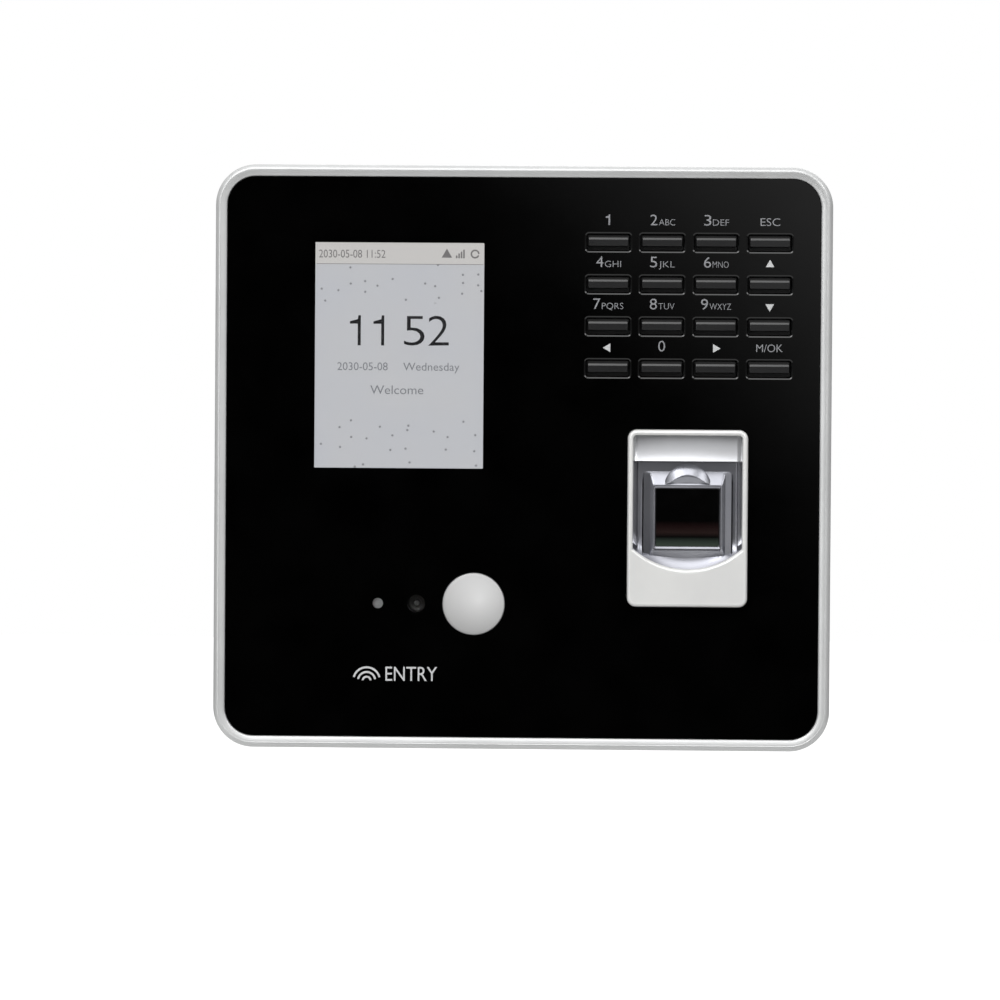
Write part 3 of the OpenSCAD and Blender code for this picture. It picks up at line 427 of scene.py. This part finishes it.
def slab_of(xz, depth, thick=0.02):
    """A thin closed slab from one outline in the front view."""
    n = len(xz)
    points = np.concatenate([at_depth(xz, depth), at_depth(xz, depth + thick)])
    return points, [strip(2, n), np.arange(n)[None, ::-1], (np.arange(n) + n)[None]]


def numeral_one(x, foot, tall, stroke):
    """The figure 1 as a slab outline: a stem that ends at x at its right, with a short level flag at
    the left of its head."""
    flag = 0.26 * tall
    return np.array([[x - stroke, foot], [x, foot], [x, foot + tall], [x - 0.8 * stroke, foot + tall],
                     [x - stroke, foot + 0.87 * tall], [x - stroke - flag, foot + 0.8 * tall],
                     [x - stroke - flag, foot + 0.8 * tall - 0.8 * stroke],
                     [x - stroke, foot + 0.8 * tall - 0.8 * stroke]])


def arrow(c, size, turn):
    """A triangle of the given size, its tip turned by turn degrees from straight up."""
    a = np.radians(turn) + np.radians([90, 210, 330])
    return np.stack([np.cos(a) * size * 0.62 + c[0], np.sin(a) * size * 0.62 + c[1]], -1)


PRINT = LENS_FRONT + 0.005
# how far above its key's centre a legend stands, and the cap heights of figures, letters and words
LEGEND_RISE = 4.4
FIGURE_H, LETTER_H, WORD_H = 2.7, 1.6, 1.95
# a number in place of a legend is an arrow, turned by that many degrees
legends = ["1", "2 ABC", "3 DEF", "ESC", "4 GHI", "5 JKL", "6 MNO", 0, "7 PQRS", "8 TUV", "9 WXYZ", 180,
           90, "0", -90, "M/OK"]
print_skins, arrow_skins = [], []
for c, legend in zip(key_centres, legends):
    foot = c[1] + LEGEND_RISE
    if legend == "1":
        print_skins.append(slab_of(numeral_one(c[0] + 0.35, foot, FIGURE_H, 0.4), PRINT))
    elif not isinstance(legend, str):
        arrow_skins.append(slab_of(arrow((c[0], foot + 0.85), 2.05, legend), PRINT))
    elif " " in legend:
        figure, letters = legend.split(" ")
        wide = 4.1 * len(letters) / 3
        left = c[0] - (2.2 + wide) / 2
        print_skins.append(flat_words(figure, FIGURE_H, (left + 0.95, foot), PRINT, 1.8, weight=-0.004))
        print_skins.append(flat_words(letters, LETTER_H, (left + 2.25 + wide / 2, foot), PRINT, wide,
                                      weight=-0.012))
    else:
        tall = FIGURE_H if len(legend) == 1 else WORD_H
        wide = {"0": 1.75, "ESC": 5.0, "M/OK": 6.7}[legend]
        print_skins.append(flat_words(legend, tall, (c[0], foot), PRINT, wide, weight=-0.006))
# screen ink: matt, a little uneven where the mesh of the screen showed
screen_ink = surface("screen_ink_light_grey", ("#7E7F83", "#8E8F92"), 0.6, 0.00015, spread=0.0012, bump=0.2)
build("key_legends", print_skins, screen_ink, crease=60)
# a second pass of whiter ink prints the arrows and the mark
white_ink = surface("screen_ink_white", ("#B4B5B6", "#C4C5C6"), 0.6, 0.00015, spread=0.0012, bump=0.2)
build("key_arrows", arrow_skins, white_ink, crease=60)


def arc_band(c, radius, wide, start, end):
    """A band between two arcs round c, from start to end degrees, as one outline."""
    a = np.radians(np.linspace(start, end, 28))
    inner, outer = radius - wide / 2, radius + wide / 2
    ring = np.concatenate([np.stack([np.cos(a) * outer, np.sin(a) * outer], -1),
                           np.stack([np.cos(a[::-1]) * inner, np.sin(a[::-1]) * inner], -1)])
    return ring + c


def bent_slab(outline, depth, thick=0.02):
    """A thin closed slab from an arc band's outline, its faces cut across the band so that they stay
    convex: point k of the outer arc is joined to point k from the end."""
    points, faces = slab_of(outline, depth, thick)
    n = len(outline)
    k = np.arange(n // 2 - 1)
    across = np.stack([k, k + 1, n - 2 - k, n - 1 - k], -1)
    return points, [faces[0], across[:, ::-1], across + n]


mark_c = np.array([-39.4, -57.2])
mark = [bent_slab(arc_band(mark_c, 1.0 + 1.2 * k, 0.5, 5 + 5 * k, 175 - 5 * k), PRINT) for k in range(3)]
mark.append(flat_words("ENTRY", 3.6, (-28.0, mark_c[1]), PRINT, 13.2))
build("face_mark", mark, white_ink, crease=60)

# ---- Display ----
# A 2.8 inch colour panel behind the clear window. It shows a pale blue-grey page with a header bar,
# a clock, and a date, a weekday and a greeting in small grey lettering, lit from behind.
SCREEN_FRONT = 27.35
# heights on the page in metres: the foot of its header, then the middle and half the height of the
# band that has no specks
HEADER_Z, CALM_Z, CALM_HALF = 0.0492, 0.0245, 0.0148
lit_page, tree = blank("lit_display_page")
where = add(tree, "ShaderNodeTexCoord").outputs["Object"]
up_down = add(tree, "ShaderNodeSeparateXYZ", {0: where}).outputs
header = add(tree, "ShaderNodeMath", {0: up_down["Z"], 1: HEADER_Z}, operation="GREATER_THAN")
cloud = add(tree, "ShaderNodeTexNoise", {"Vector": where, "Scale": 45.0, "Detail": 2.0})
page = add(tree, "ShaderNodeMix", {"Factor": cloud.outputs["Fac"], "A": linear("#B9BCC3"),
                                   "B": linear("#C0C0C1")}, data_type="RGBA")
shown = add(tree, "ShaderNodeMix", {"Factor": header.outputs[0], "A": page.outputs["Result"],
                                    "B": linear("#C5C3C1")}, data_type="RGBA")
# specks near the top and foot of the page: points about 3.6 mm apart, half of them kept
flat = add(tree, "ShaderNodeCombineXYZ", {"X": up_down["X"], "Y": up_down["Z"]})
dots = add(tree, "ShaderNodeTexVoronoi", {"Vector": flat.outputs[0], "Scale": 280.0},
           voronoi_dimensions="2D")
speck = add(tree, "ShaderNodeMath", {0: dots.outputs["Distance"], 1: 0.085}, operation="LESS_THAN")
chance = add(tree, "ShaderNodeSeparateXYZ", {0: dots.outputs["Color"]})
kept = add(tree, "ShaderNodeMath", {0: chance.outputs["X"], 1: 0.5}, operation="GREATER_THAN")
speck = add(tree, "ShaderNodeMath", {0: speck.outputs[0], 1: kept.outputs[0]}, operation="MULTIPLY")
away = add(tree, "ShaderNodeMath", {0: up_down["Z"], 1: -CALM_Z}, operation="ADD")
away = add(tree, "ShaderNodeMath", {0: away.outputs[0]}, operation="ABSOLUTE")
outer = add(tree, "ShaderNodeMath", {0: away.outputs[0], 1: CALM_HALF}, operation="GREATER_THAN")
speck = add(tree, "ShaderNodeMath", {0: speck.outputs[0], 1: outer.outputs[0]}, operation="MULTIPLY")
body_part = add(tree, "ShaderNodeMath", {0: 1.0, 1: header.outputs[0]}, operation="SUBTRACT")
speck = add(tree, "ShaderNodeMath", {0: speck.outputs[0], 1: body_part.outputs[0]}, operation="MULTIPLY")
shown = add(tree, "ShaderNodeMix", {"Factor": speck.outputs[0], "A": shown.outputs["Result"],
                                    "B": linear("#86878B")}, data_type="RGBA")
shade = add(tree, "ShaderNodeBsdfPrincipled", {"Base Color": linear("#101012"), "Roughness": 0.35,
                                               "Emission Color": shown.outputs["Result"],
                                               "Emission Strength": 1.04})
add(tree, "ShaderNodeOutputMaterial", {"Surface": shade.outputs[0]})
build("display_screen", [stack([(50 - 2 * e, 69.2 - 2 * e, 0.4, SCREEN_C, d)
                                for e, d in ((0, 26.05), (0, 27.3), (0.05, SCREEN_FRONT))], arc=3)],
      lit_page, replaces=["lcd_panel"])

# the dark and grey lettering, which is part of the lit page
page_inks = {}
for name, shade_hex in (("page_black", "#0E0E11"), ("page_grey", "#74767B"), ("page_header_grey", "#6E6C6C")):
    ink, tree = blank(name)
    where = add(tree, "ShaderNodeTexCoord").outputs["Object"]
    fleck = add(tree, "ShaderNodeTexNoise", {"Vector": where, "Scale": 1200.0})
    lit = add(tree, "ShaderNodeMix", {"Factor": fleck.outputs["Fac"], "A": linear(shade_hex),
                                      "B": tuple(min(1.0, 1.25 * v) for v in linear(shade_hex))},
              data_type="RGBA")
    shade = add(tree, "ShaderNodeBsdfPrincipled", {"Base Color": linear("#101012"), "Roughness": 0.35,
                                                   "Emission Color": lit.outputs["Result"],
                                                   "Emission Strength": 1.0})
    add(tree, "ShaderNodeOutputMaterial", {"Surface": shade.outputs[0]})
    page_inks[name] = ink

INK = SCREEN_FRONT + 0.004
left, top = SCREEN_C[0] - SCREEN_W / 2, SCREEN_C[1] + SCREEN_H / 2
CLOCK_H, CLOCK_FOOT = 7.7, top - 26.3
big_time = [slab_of(numeral_one(left + x, CLOCK_FOOT, CLOCK_H, 0.78), INK) for x in (11.7, 17.7)]
big_time += [flat_words(figure, CLOCK_H, (left + x, CLOCK_FOOT), INK, 5.25, weight=-0.012)
             for figure, x in (("5", 25.4), ("2", 31.6))]
build("page_clock", big_time, page_inks["page_black"], crease=60)
small_lines = [flat_words("2030-05-08", 2.0, (left + 12.2, top - 32.65), INK, 12.9),
               flat_words("Wednesday", 2.0, (left + 29.8, top - 32.65), INK, 14.4),
               flat_words("Welcome", 2.2, (left + 21.0, top - 38.7), INK, 13.6)]
build("page_lines", small_lines, page_inks["page_grey"], crease=60)
bar_items = [flat_words("2030-05-08 11:52", 2.0, (left + 9.4, top - 3.9), INK, 17.0)]
bar_line = np.array([[left + 0.3, top - 5.55], [left + SCREEN_W - 0.3, top - 5.55],
                     [left + SCREEN_W - 0.3, top - 5.42], [left + 0.3, top - 5.42]])
bar_items.append(slab_of(bar_line, INK))
icon_x = left + SCREEN_W - 9.6
bar_items.append(slab_of(arrow((icon_x, top - 3.0), 2.5, 0), INK))
for k in range(4):
    x0, tall = icon_x + 2.3 + 0.62 * k, 0.7 + 0.5 * k
    bar_items.append(slab_of(np.array([[x0, top - 3.9], [x0 + 0.4, top - 3.9], [x0 + 0.4, top - 3.9 + tall],
                                       [x0, top - 3.9 + tall]]), INK))
bar_items.append(bent_slab(arc_band(np.array([icon_x + 7.2, top - 2.8]), 0.95, 0.4, 0, 340), INK))
build("page_header", bar_items, page_inks["page_header_grey"], crease=60)

# ---- Fingerprint reader ----
# A moulding in the same silver lacquer stands through the panel: a rounded rim, a brow that guides
# the finger, a sunken floor, and a flush panel below an arc. It clips in behind the front housing.

def terrain(x, z, d, back):
    """A closed block whose front is the grid of depths d over x and z and whose back is flat."""
    rows, cols = d.shape
    front = at_depth(np.stack([x, z], -1), d).reshape(-1, 3)
    k = np.arange(rows * cols).reshape(rows, cols)
    edge = np.concatenate([k[0, :-1], k[:-1, -1], k[-1, :0:-1], k[:0:-1, 0]])
    rear = front[edge].copy()
    rear[:, 1] = -back / 1000
    n, m = len(edge), rows * cols
    quads = np.stack([k[:-1, :-1], k[:-1, 1:], k[1:, 1:], k[1:, :-1]], -1).reshape(-1, 4)
    here, there = np.arange(n), (np.arange(n) + 1) % n
    wall = np.stack([edge[here], m + here, m + there, edge[there]], -1)
    return np.concatenate([front, rear]), [quads, wall, (m + here)[None, ::-1]]


def smooth(t):
    """0 below 0, 1 above 1, and 3 t squared minus 2 t cubed between."""
    t = np.clip(t, 0, 1)
    return t * t * (3 - 2 * t)


READER_W, READER_H, READER_R = 30.6, 45.1, 2.3
READER_X, READER_Z = READER
READER_TOP = READER_Z + READER_H / 2
READER_BACK = 25.1
# radius of the arc where the sunken floor meets the lower panel
ARC_R = 21


def lower_arc(lowest, sideways):
    """Height of that arc at a distance sideways: its lowest point, plus the radius, less the root of
    the radius squared less the distance squared."""
    return lowest + ARC_R - np.sqrt(ARC_R ** 2 - sideways ** 2)


def parameters(across, *down):
    """The grid of u, from -1 to 1 in so many points across, and v, through each stretch (from, to,
    points) down."""
    return np.meshgrid(np.linspace(-1, 1, across), np.concatenate([np.linspace(*part) for part in down]))


rim_profile = [(0.0, READER_BACK), (0.0, 31.0), (0.08, 31.35), (0.28, 31.66), (0.58, 31.85), (0.8, 31.9),
               (1.05, 31.86), (1.28, 31.7), (1.4, 31.4), (1.42, 30.9), (1.42, READER_BACK)]
reader_levels = [(READER_W - 2 * e, READER_H - 2 * e, READER_R - e, READER, d) for e, d in rim_profile]
rim = stack(reader_levels, ring=True, arc=12)
# brow: a trough in depth, lowest a quarter of the way down and steepest at its foot, crowned
# sideways, falling away at both ends, and rolled over at the foot
BROW_HALF, BROW_H, BROW_DEPTH = 13.95, 6.95, 30.55
u, v = parameters(61, (0, 0.95, 26), (0.955, 1, 8))
x, z = READER_X + BROW_HALF * u, READER_TOP - 1.2 - BROW_H * v
d = BROW_DEPTH + 1.0 * ((v - 0.25) / 0.75) ** 2 + 0.45 * (1 - np.abs(u) ** 2.2) * v
d = d - 0.9 * smooth((u - 0.9) / 0.07) - 0.4 * smooth((-u - 0.95) / 0.05)
d = d - 1.6 * smooth((v - 0.965) / 0.035) ** 2
brow = terrain(x, z, np.minimum(d, 32.15), READER_BACK)
# lower panel: its upper edge is the arc, rolled over so that it catches the light
LOWER_HALF, LOWER_DEPTH, ROLL = 14.3, 31.87, 0.9
u, v = parameters(49, (0, 0.08, 8), (0.1, 1, 14))
x = READER_X + LOWER_HALF * u
arc_z = lower_arc(READER_TOP - 35.5, LOWER_HALF * u)
low = READER_Z - READER_H / 2 + 0.75
z = arc_z + (low - arc_z) * v
d = LOWER_DEPTH - 0.7 * (1 - np.clip((arc_z - z) / ROLL, 0, 1)) ** 2
lower = terrain(x, z, d, READER_BACK)
# flange behind the wall of the front housing, which holds the moulding
flange = plate((34.0, 57.1, 3.0, READER), [], 23.9, 25.05)
# a paler coat of the rim's lacquer, over a slightly finer texture
reader_lacquer = surface("silver_lacquer_reader", ("#E0E0DF", "#E8E8E6"), 0.42, 0.0001, bump=0.15,
                         metallic=0.3, coat=0.3, wear=0.04)
build("reader_moulding", [rim, lower, flange], reader_lacquer, replaces=["reader_bezel"],
      crease=38)
# the brow takes a darker, more metallic, smoother copy of the moulding's lacquer: painted shade, so that it
# runs from grey at the top to white at its foot, where it tilts to the light
brow_lacquer_shaded_copy = surface("silver_lacquer_brow_painted_shade", ("#B9BABD", "#C2C3C6"), 0.32, 0.0001, bump=0.2, metallic=0.8,
                       coat=0.2, wear=0.04)
build("reader_brow", [brow], brow_lacquer_shaded_copy, crease=38)

# ---- Finger seat ----
# A separate ABS insert in darker grey metallic lacquer: the sunken floor, a frame with sloping
# sides round the glass, and a crescent that stops the fingertip. It is pressed in from the front.
GLASS_C = (READER_X, READER_Z + 0.25)
SEAT_C = (READER_X, READER_TOP - 21.75)
SEAT_BACK = 24.0
seat_levels = [
    (22.4, 22.3, 0.9, SEAT_C, SEAT_BACK), (22.4, 22.3, 0.9, SEAT_C, 28.95),
    (19.3, 21.6, 0.8, (READER_X, READER_TOP - 21.8), 29.15),
    (18.0, 17.4, 0.5, (READER_X, READER_TOP - 22.15), 30.24), (17.35, 16.6, 0.45, GLASS_C, 30.56),
    (17.0, 16.2, 0.4, GLASS_C, 30.6), (16.75, 15.9, 0.35, GLASS_C, 30.58),
    (16.2, 14.9, 0.25, GLASS_C, 30.22), (16.2, 14.9, 0.25, GLASS_C, SEAT_BACK)]
seat = stack(seat_levels, ring=True, arc=5)
# floor: level, then rising towards the lower panel's arc, with a groove along each side
SUNKEN_HALF, SUNKEN_DEPTH, SUNKEN_TOP = 14.0, 28.9, READER_TOP - 7.9
u, v = parameters(81, (0, 0.6, 10), (0.62, 1, 24))
x = READER_X + SUNKEN_HALF * u
arc_z = lower_arc(READER_TOP - 35.6, SUNKEN_HALF * u)
z = SUNKEN_TOP + (arc_z - SUNKEN_TOP) * v
d = SUNKEN_DEPTH + 1.6 * np.clip((arc_z + 4.6 - z) / 4.6, 0, 1) ** 2.2
d = d - 1.3 * smooth((np.abs(u) * SUNKEN_HALF - 12.5) / 0.5) * (1 - smooth((arc_z + 1.5 - z) / 1.5))
# a deep hollow beside the frame leaves its flanks in shade
beside = smooth((11.6 - np.abs(SUNKEN_HALF * u)) / 0.7)
along = smooth((READER_TOP - 12.2 - z) / 1.5) * smooth((z - READER_TOP + 32) / 1.2)
d = d - 2.6 * beside * along
sunken = terrain(x, z, d, READER_BACK)
# crescent: between the upper arc and the seat's edge, with a curved crest
CRESCENT_HALF, CRESCENT_R = 5.75, 6.1
u, v = parameters(45, (0, 1, 30))
x = READER_X + CRESCENT_HALF * u
upper = READER_TOP - 14.9 + np.sqrt(CRESCENT_R ** 2 - (CRESCENT_HALF * u) ** 2)
foot_z = GLASS_C[1] + 8.2
z = upper + (foot_z - upper) * v
crest = 0.5 + 0.4 * u ** 2
tall = 1.5 * (1 - 0.6 * np.abs(u) ** 3)
before, after = (v / crest) ** 0.9, 1 - 0.75 * smooth((v - crest) / (1 - crest)) ** 0.9
d = 29.95 + tall * np.where(v < crest, before, after)
crescent = terrain(x, z, np.minimum(d, 31.7), SEAT_BACK)
# grey metallic lacquer: more flake than the outer parts, so its sloping sides go from white to black
seat_lacquer = surface("grey_metallic_lacquer", ("#8C8D94", "#98999F"), 0.3, 0.0001, bump=0.25,
                       metallic=0.92, coat=0.2, wear=0.04)
build("finger_seat", [seat, sunken, crescent], seat_lacquer, replaces=["reader_cradle"],
      crease=18)

# ---- Fingerprint glass ----
# The polished top face of the prism, almost black, with faint red and green bands low down: painted
# reflections, which also glow.
GLASS_W, GLASS_H = 16.0, 14.7
prism, tree = blank("optical_glass_painted_reflection")
where = add(tree, "ShaderNodeTexCoord").outputs["Object"]
height = add(tree, "ShaderNodeSeparateXYZ", {0: where}).outputs["Z"]
share = add(tree, "ShaderNodeMapRange", {"Value": height, "From Min": (GLASS_C[1] - GLASS_H / 2) / 1000,
                                         "From Max": (GLASS_C[1] + GLASS_H / 2) / 1000})
painted_reflection_bands = add(tree, "ShaderNodeValToRGB", {"Fac": share.outputs[0]})
# painted reflection: green at the foot, a dark gap, red above it, then black: share of the height, and colour
painted_reflection_stops = [(0.0, "#2B322C"), (0.1, "#1C221E"), (0.16, "#050505"), (0.24, "#1A1211"), (0.34, "#110909"),
         (0.44, "#020202")]
ramp = painted_reflection_bands.color_ramp
while len(ramp.elements) < len(painted_reflection_stops):
    ramp.elements.new(0.5)
for element, (position, shade_hex) in zip(ramp.elements, painted_reflection_stops):
    element.position, element.color = position, linear(shade_hex)
haze = add(tree, "ShaderNodeTexNoise", {"Vector": where, "Scale": 260.0, "Detail": 4.0})
gloss = add(tree, "ShaderNodeMapRange", {"Value": haze.outputs["Fac"], "To Min": 0.02, "To Max": 0.12})
# the painted reflection bands glow too, as emission of their own colour
shade = add(tree, "ShaderNodeBsdfPrincipled", {"Base Color": painted_reflection_bands.outputs["Color"], "IOR": 1.52,
                                               "Roughness": gloss.outputs[0],
                                               "Emission Color": painted_reflection_bands.outputs["Color"],
                                               "Emission Strength": 0.6})
add(tree, "ShaderNodeOutputMaterial", {"Surface": shade.outputs[0]})
glass_levels = [(GLASS_W, GLASS_H, 0.2, GLASS_C, 27.1), (GLASS_W, GLASS_H, 0.2, GLASS_C, 30.3),
                (GLASS_W - 0.2, GLASS_H - 0.2, 0.15, GLASS_C, 30.38)]
build("prism_face", [stack(glass_levels, arc=3)], prism, replaces=["sensor_window"])

# ---- Lamp, camera and indicator ----
# The lamp is an opal disc, slightly domed, over four white lights. The camera is a black lens barrel
# with a small glass dome, and the indicator the frosted end of a light pipe.

def turned(centre, profile, arc=12):
    """A turned part with its axis square to the wall: a circle of each radius at its depth."""
    return stack([(*disc(r, centre), d) for r, d in profile], arc=arc)


LAMP_FRONT, DOME_R = 30.8, 22
dome = [(r, LAMP_FRONT - DOME_R + math.sqrt(DOME_R ** 2 - r ** 2))
        for r in (7.6, 7.0, 6.2, 5.2, 4.0, 2.8, 1.6, 0.5)]
lamp_profile = [(9.35, 24.3), (9.35, 25.05), (7.95, 25.1), (7.95, 29.05), (7.85, 29.3)] + dome
# opal polycarbonate: light scatters in it, and its face is satin. Its colour holds a painted highlight a
# little right of and above the middle, fading to painted shade, greyer towards the edge
opal = surface("opal_polycarbonate_painted_highlight", ("#D0D0D0", "#D5D5D5"), 0.4, 0.00018, bump=0.25, wear=0.05)
tree = opal.node_tree
# painted highlight and shade: lightest round a point 1.5 mm right of and 1 mm above the middle, grey 9.5 mm
# from it
painted_highlight_distance = add(tree, "ShaderNodeVectorMath", {0: add(tree, "ShaderNodeTexCoord").outputs["Object"],
                                          1: ((lamp_c[0] + 1.5) / 1000, -0.0305, (lamp_c[1] + 1) / 1000)},
           operation="DISTANCE")
painted_shade_fade = add(tree, "ShaderNodeMapRange", {"Value": painted_highlight_distance.outputs["Value"], "From Min": 0.0, "From Max": 0.0095})
shade = next(n for n in tree.nodes if n.type == "BSDF_PRINCIPLED")
centre_tone = shade.inputs["Base Color"].links[0].from_socket
lit_and_shaded_tone = add(tree, "ShaderNodeMix", {"Factor": painted_shade_fade.outputs[0], "A": centre_tone, "B": linear("#AAAAAA")},
           data_type="RGBA")
tree.links.new(lit_and_shaded_tone.outputs["Result"], shade.inputs["Base Color"])
build("lamp_disc", [turned(lamp_c, lamp_profile, arc=16)], opal, replaces=["lamp_diffuser"],
      crease=40)
barrel = [(3.2, 21.6), (3.2, 27.1), (3.1, 27.25), (2.2, 27.28), (2.05, 27.1), (1.9, 26.95), (1.85, 27.02),
          (1.3, 26.75), (1.25, 26.82), (0.85, 26.6), (0.5, 26.6)]
barrel_black = surface("black_anodised_barrel", ("#060606", "#0B0B0C"), 0.5, 0.0001, bump=0.3)
build("camera_barrel", [turned(camera_c, barrel)], barrel_black, replaces=["camera_lens"])
eye_glass = surface("coated_lens_glass", ("#0A0A12", "#12101A"), 0.04, 0.0006, bump=0.0, wear=0.02,
                    coat=1.0)
eye = [(0.8, 26.4), (0.78, 26.62), (0.6, 26.74), (0.35, 26.82), (0.1, 26.85)]
build("camera_glass", [turned(camera_c, eye)], eye_glass, crease=60)
pipe_end = surface("frosted_pipe_end", ("#E4E5E6", "#ECEDEE"), 0.45, 0.0001, bump=0.3)
pipe = [(1.35, 22.4), (1.35, 24.3), (2.15, 24.3), (2.15, 25.05), (1.35, 25.1), (1.35, 27.2),
        (1.25, 27.33), (0.3, 27.36)]
build("indicator_end", [turned(pipe_c, pipe)], pipe_end, replaces=["light_pipe"])

# ---- Contacts ----
# Small metal parts in the connectors: eight gilt springs in the network socket, four contacts on the
# USB tongue, and the slotted screws and clamps of the terminal block.

def box(x, d, z, bevel=0.05):
    """A block between two x, two depths and two heights, with bevelled front and back edges."""
    c = ((x[0] + x[1]) / 2, (z[0] + z[1]) / 2)
    w, h = x[1] - x[0], z[1] - z[0]
    return stack([(w - 2 * e, h - 2 * e, bevel, c, at) for e, at in (
        (bevel, d[0]), (0, d[0] + bevel), (0, d[1] - bevel), (bevel, d[1]))], arc=2)


gold = surface("gold_plated_contact", ("#C9A24B", "#D8B35C"), 0.25, 0.0001, bump=0.2, metallic=1.0)
(JACK_X, jack_z), _, jack_h = extent("ethernet_jack")
JACK_DEPTH, JACK_FOOT = 14.0, jack_z - jack_h / 2
# eight springs, 0.4 wide and 1.02 apart
spring_xs = JACK_X - 3.57 + 1.02 * np.arange(8)
springs = [box((x - 0.2, x + 0.2), (JACK_DEPTH - 0.75, JACK_DEPTH - 0.35),
               (JACK_FOOT + 2.2, JACK_FOOT + 11.8)) for x in spring_xs]
(USB_X, usb_z), _, usb_h = extent("usb_socket")
USB_MOUTH = usb_z - usb_h / 2
pads = [box((x - 0.55, x + 0.55), (14.12, 14.34), (USB_MOUTH + 1.6, USB_MOUTH + 8.6))
        for x in USB_X + np.array([-3.5, -1.0, 1.0, 3.5])]
build("contact_springs", springs + pads, gold, crease=30)
plated = surface("nickel_plated_screw", ("#A8A69F", "#BCBAB3"), 0.3, 0.0001, bump=0.3, metallic=1.0)
(block_x, WAY_Z), _, _ = extent("terminal_block")
WAYS, WAY_STEP = 8, 3.81
ways = block_x + (np.arange(WAYS) - (WAYS - 1) / 2) * WAY_STEP
head = [(1.3, 10.38), (1.3, 9.9), (1.15, 9.72), (0.35, 9.7)]
screws = []
for x in ways:
    screws.append(turned((x, WAY_Z), head, arc=4))
    # the driver slot's two lips stand a little proud of the head
    screws += [box((x - 0.95, x + 0.95), (9.5, 9.75), (WAY_Z + lip, WAY_Z + lip + 0.45))
               for lip in (-0.65, 0.2)]
    screws.append(box((x - 1.2, x + 1.2), (11.9, 12.4), (WAY_Z - 4.8, WAY_Z + 0.4)))
build("clamp_screws", screws, plated, crease=30)

# ---- Housing, wall plate and inner parts ----
# The pieces that keep the CAD shape take their finish here: textured ABS mouldings, the galvanised
# plate, circuit boards, shields, cables and connectors.
finishes = {
    # black ABS with a fine spark-eroded texture: soft sheen, small edge radii from the mould
    "black_abs": surface("black_abs_textured", ("#1D1D1F", "#26262A"), 0.5, 0.00035, bump=2.2, wear=0.08,
                         edge=0.0004),
    "galvanised": surface("galvanised_sheet", ("#8E9295", "#B4B8BA"), 0.42, 0.0012, spread=0.006, bump=0.5,
                          metallic=0.9, wear=0.12, edge=0.00025),
    "screw_steel": surface("zinc_plated_steel", ("#8D8E90", "#A9AAAB"), 0.32, 0.0002, bump=0.5, metallic=1.0,
                           edge=0.0001),
    "silver_paint": silver_lacquer,
    "clear_acrylic": clear_acrylic,
    "black_print": surface("black_print_film", ("#050505", "#0A0A0A"), 0.6, 0.0002),
    "foam_tape": surface("foam_tape", ("#2A2A2C", "#38383A"), 0.9, 0.0003, bump=3.0),
    "silicone": surface("silicone_mat", ("#B9B9B4", "#C8C8C3"), 0.55, 0.0002, bump=0.6),
    "circuit_board": surface("solder_mask_green", ("#0E3B22", "#15502E"), 0.35, 0.0008, spread=0.003,
                             bump=0.8, coat=0.4),
    "white_plastic": surface("white_moulding", ("#D9D9D6", "#E6E6E3"), 0.4, 0.0002, bump=0.5),
    "nickel_sheet": surface("nickel_plated_sheet", ("#A9A7A1", "#BDBBB5"), 0.28, 0.0004, spread=0.004,
                            bump=0.4, metallic=1.0, edge=0.00015),
    "flat_cable": surface("polyimide_film", ("#8A5520", "#9E6527"), 0.35, 0.0003, bump=0.3, coat=0.5),
    "black_optics": surface("black_moulding", ("#131315", "#1C1C1F"), 0.4, 0.0002, bump=0.6, edge=0.0002),
    "diffuser": opal,
    "cell_steel": surface("stainless_cell", ("#B5B5B2", "#C6C6C3"), 0.25, 0.0002, bump=0.3, metallic=1.0),
    "relay_blue": surface("blue_case", ("#123B8C", "#1A489F"), 0.35, 0.0003, bump=0.4),
    "speaker_black": surface("speaker_paper", ("#141414", "#1E1E1E"), 0.8, 0.0004, bump=2.0),
    "terminal_green": surface("green_polyamide", ("#137A43", "#1A8C4E"), 0.4, 0.0002, bump=0.6, edge=0.0002),
    "black_rubber": surface("soft_black_rubber", ("#17171A", "#202023"), 0.7, 0.0002, bump=1.2, edge=0.0002),
    "actuator_brown": surface("phenolic_brown", ("#6B4A1C", "#7C5826"), 0.45, 0.0002, bump=0.4),
    "switch_red": surface("red_actuator", ("#A01E10", "#B32A18"), 0.4, 0.0002, bump=0.4),
    "key_plastic": key_abs, "reader_grey": seat_lacquer, "prism_glass": prism, "display_glass": lit_page,
}
slot_of = {part["node"]: part["material_slot"] for part in frame["record"]["subparts"]}
for name, node in frame["nodes"].items():
    node.data.materials.clear()
    node.data.materials.append(finishes[slot_of[name]])
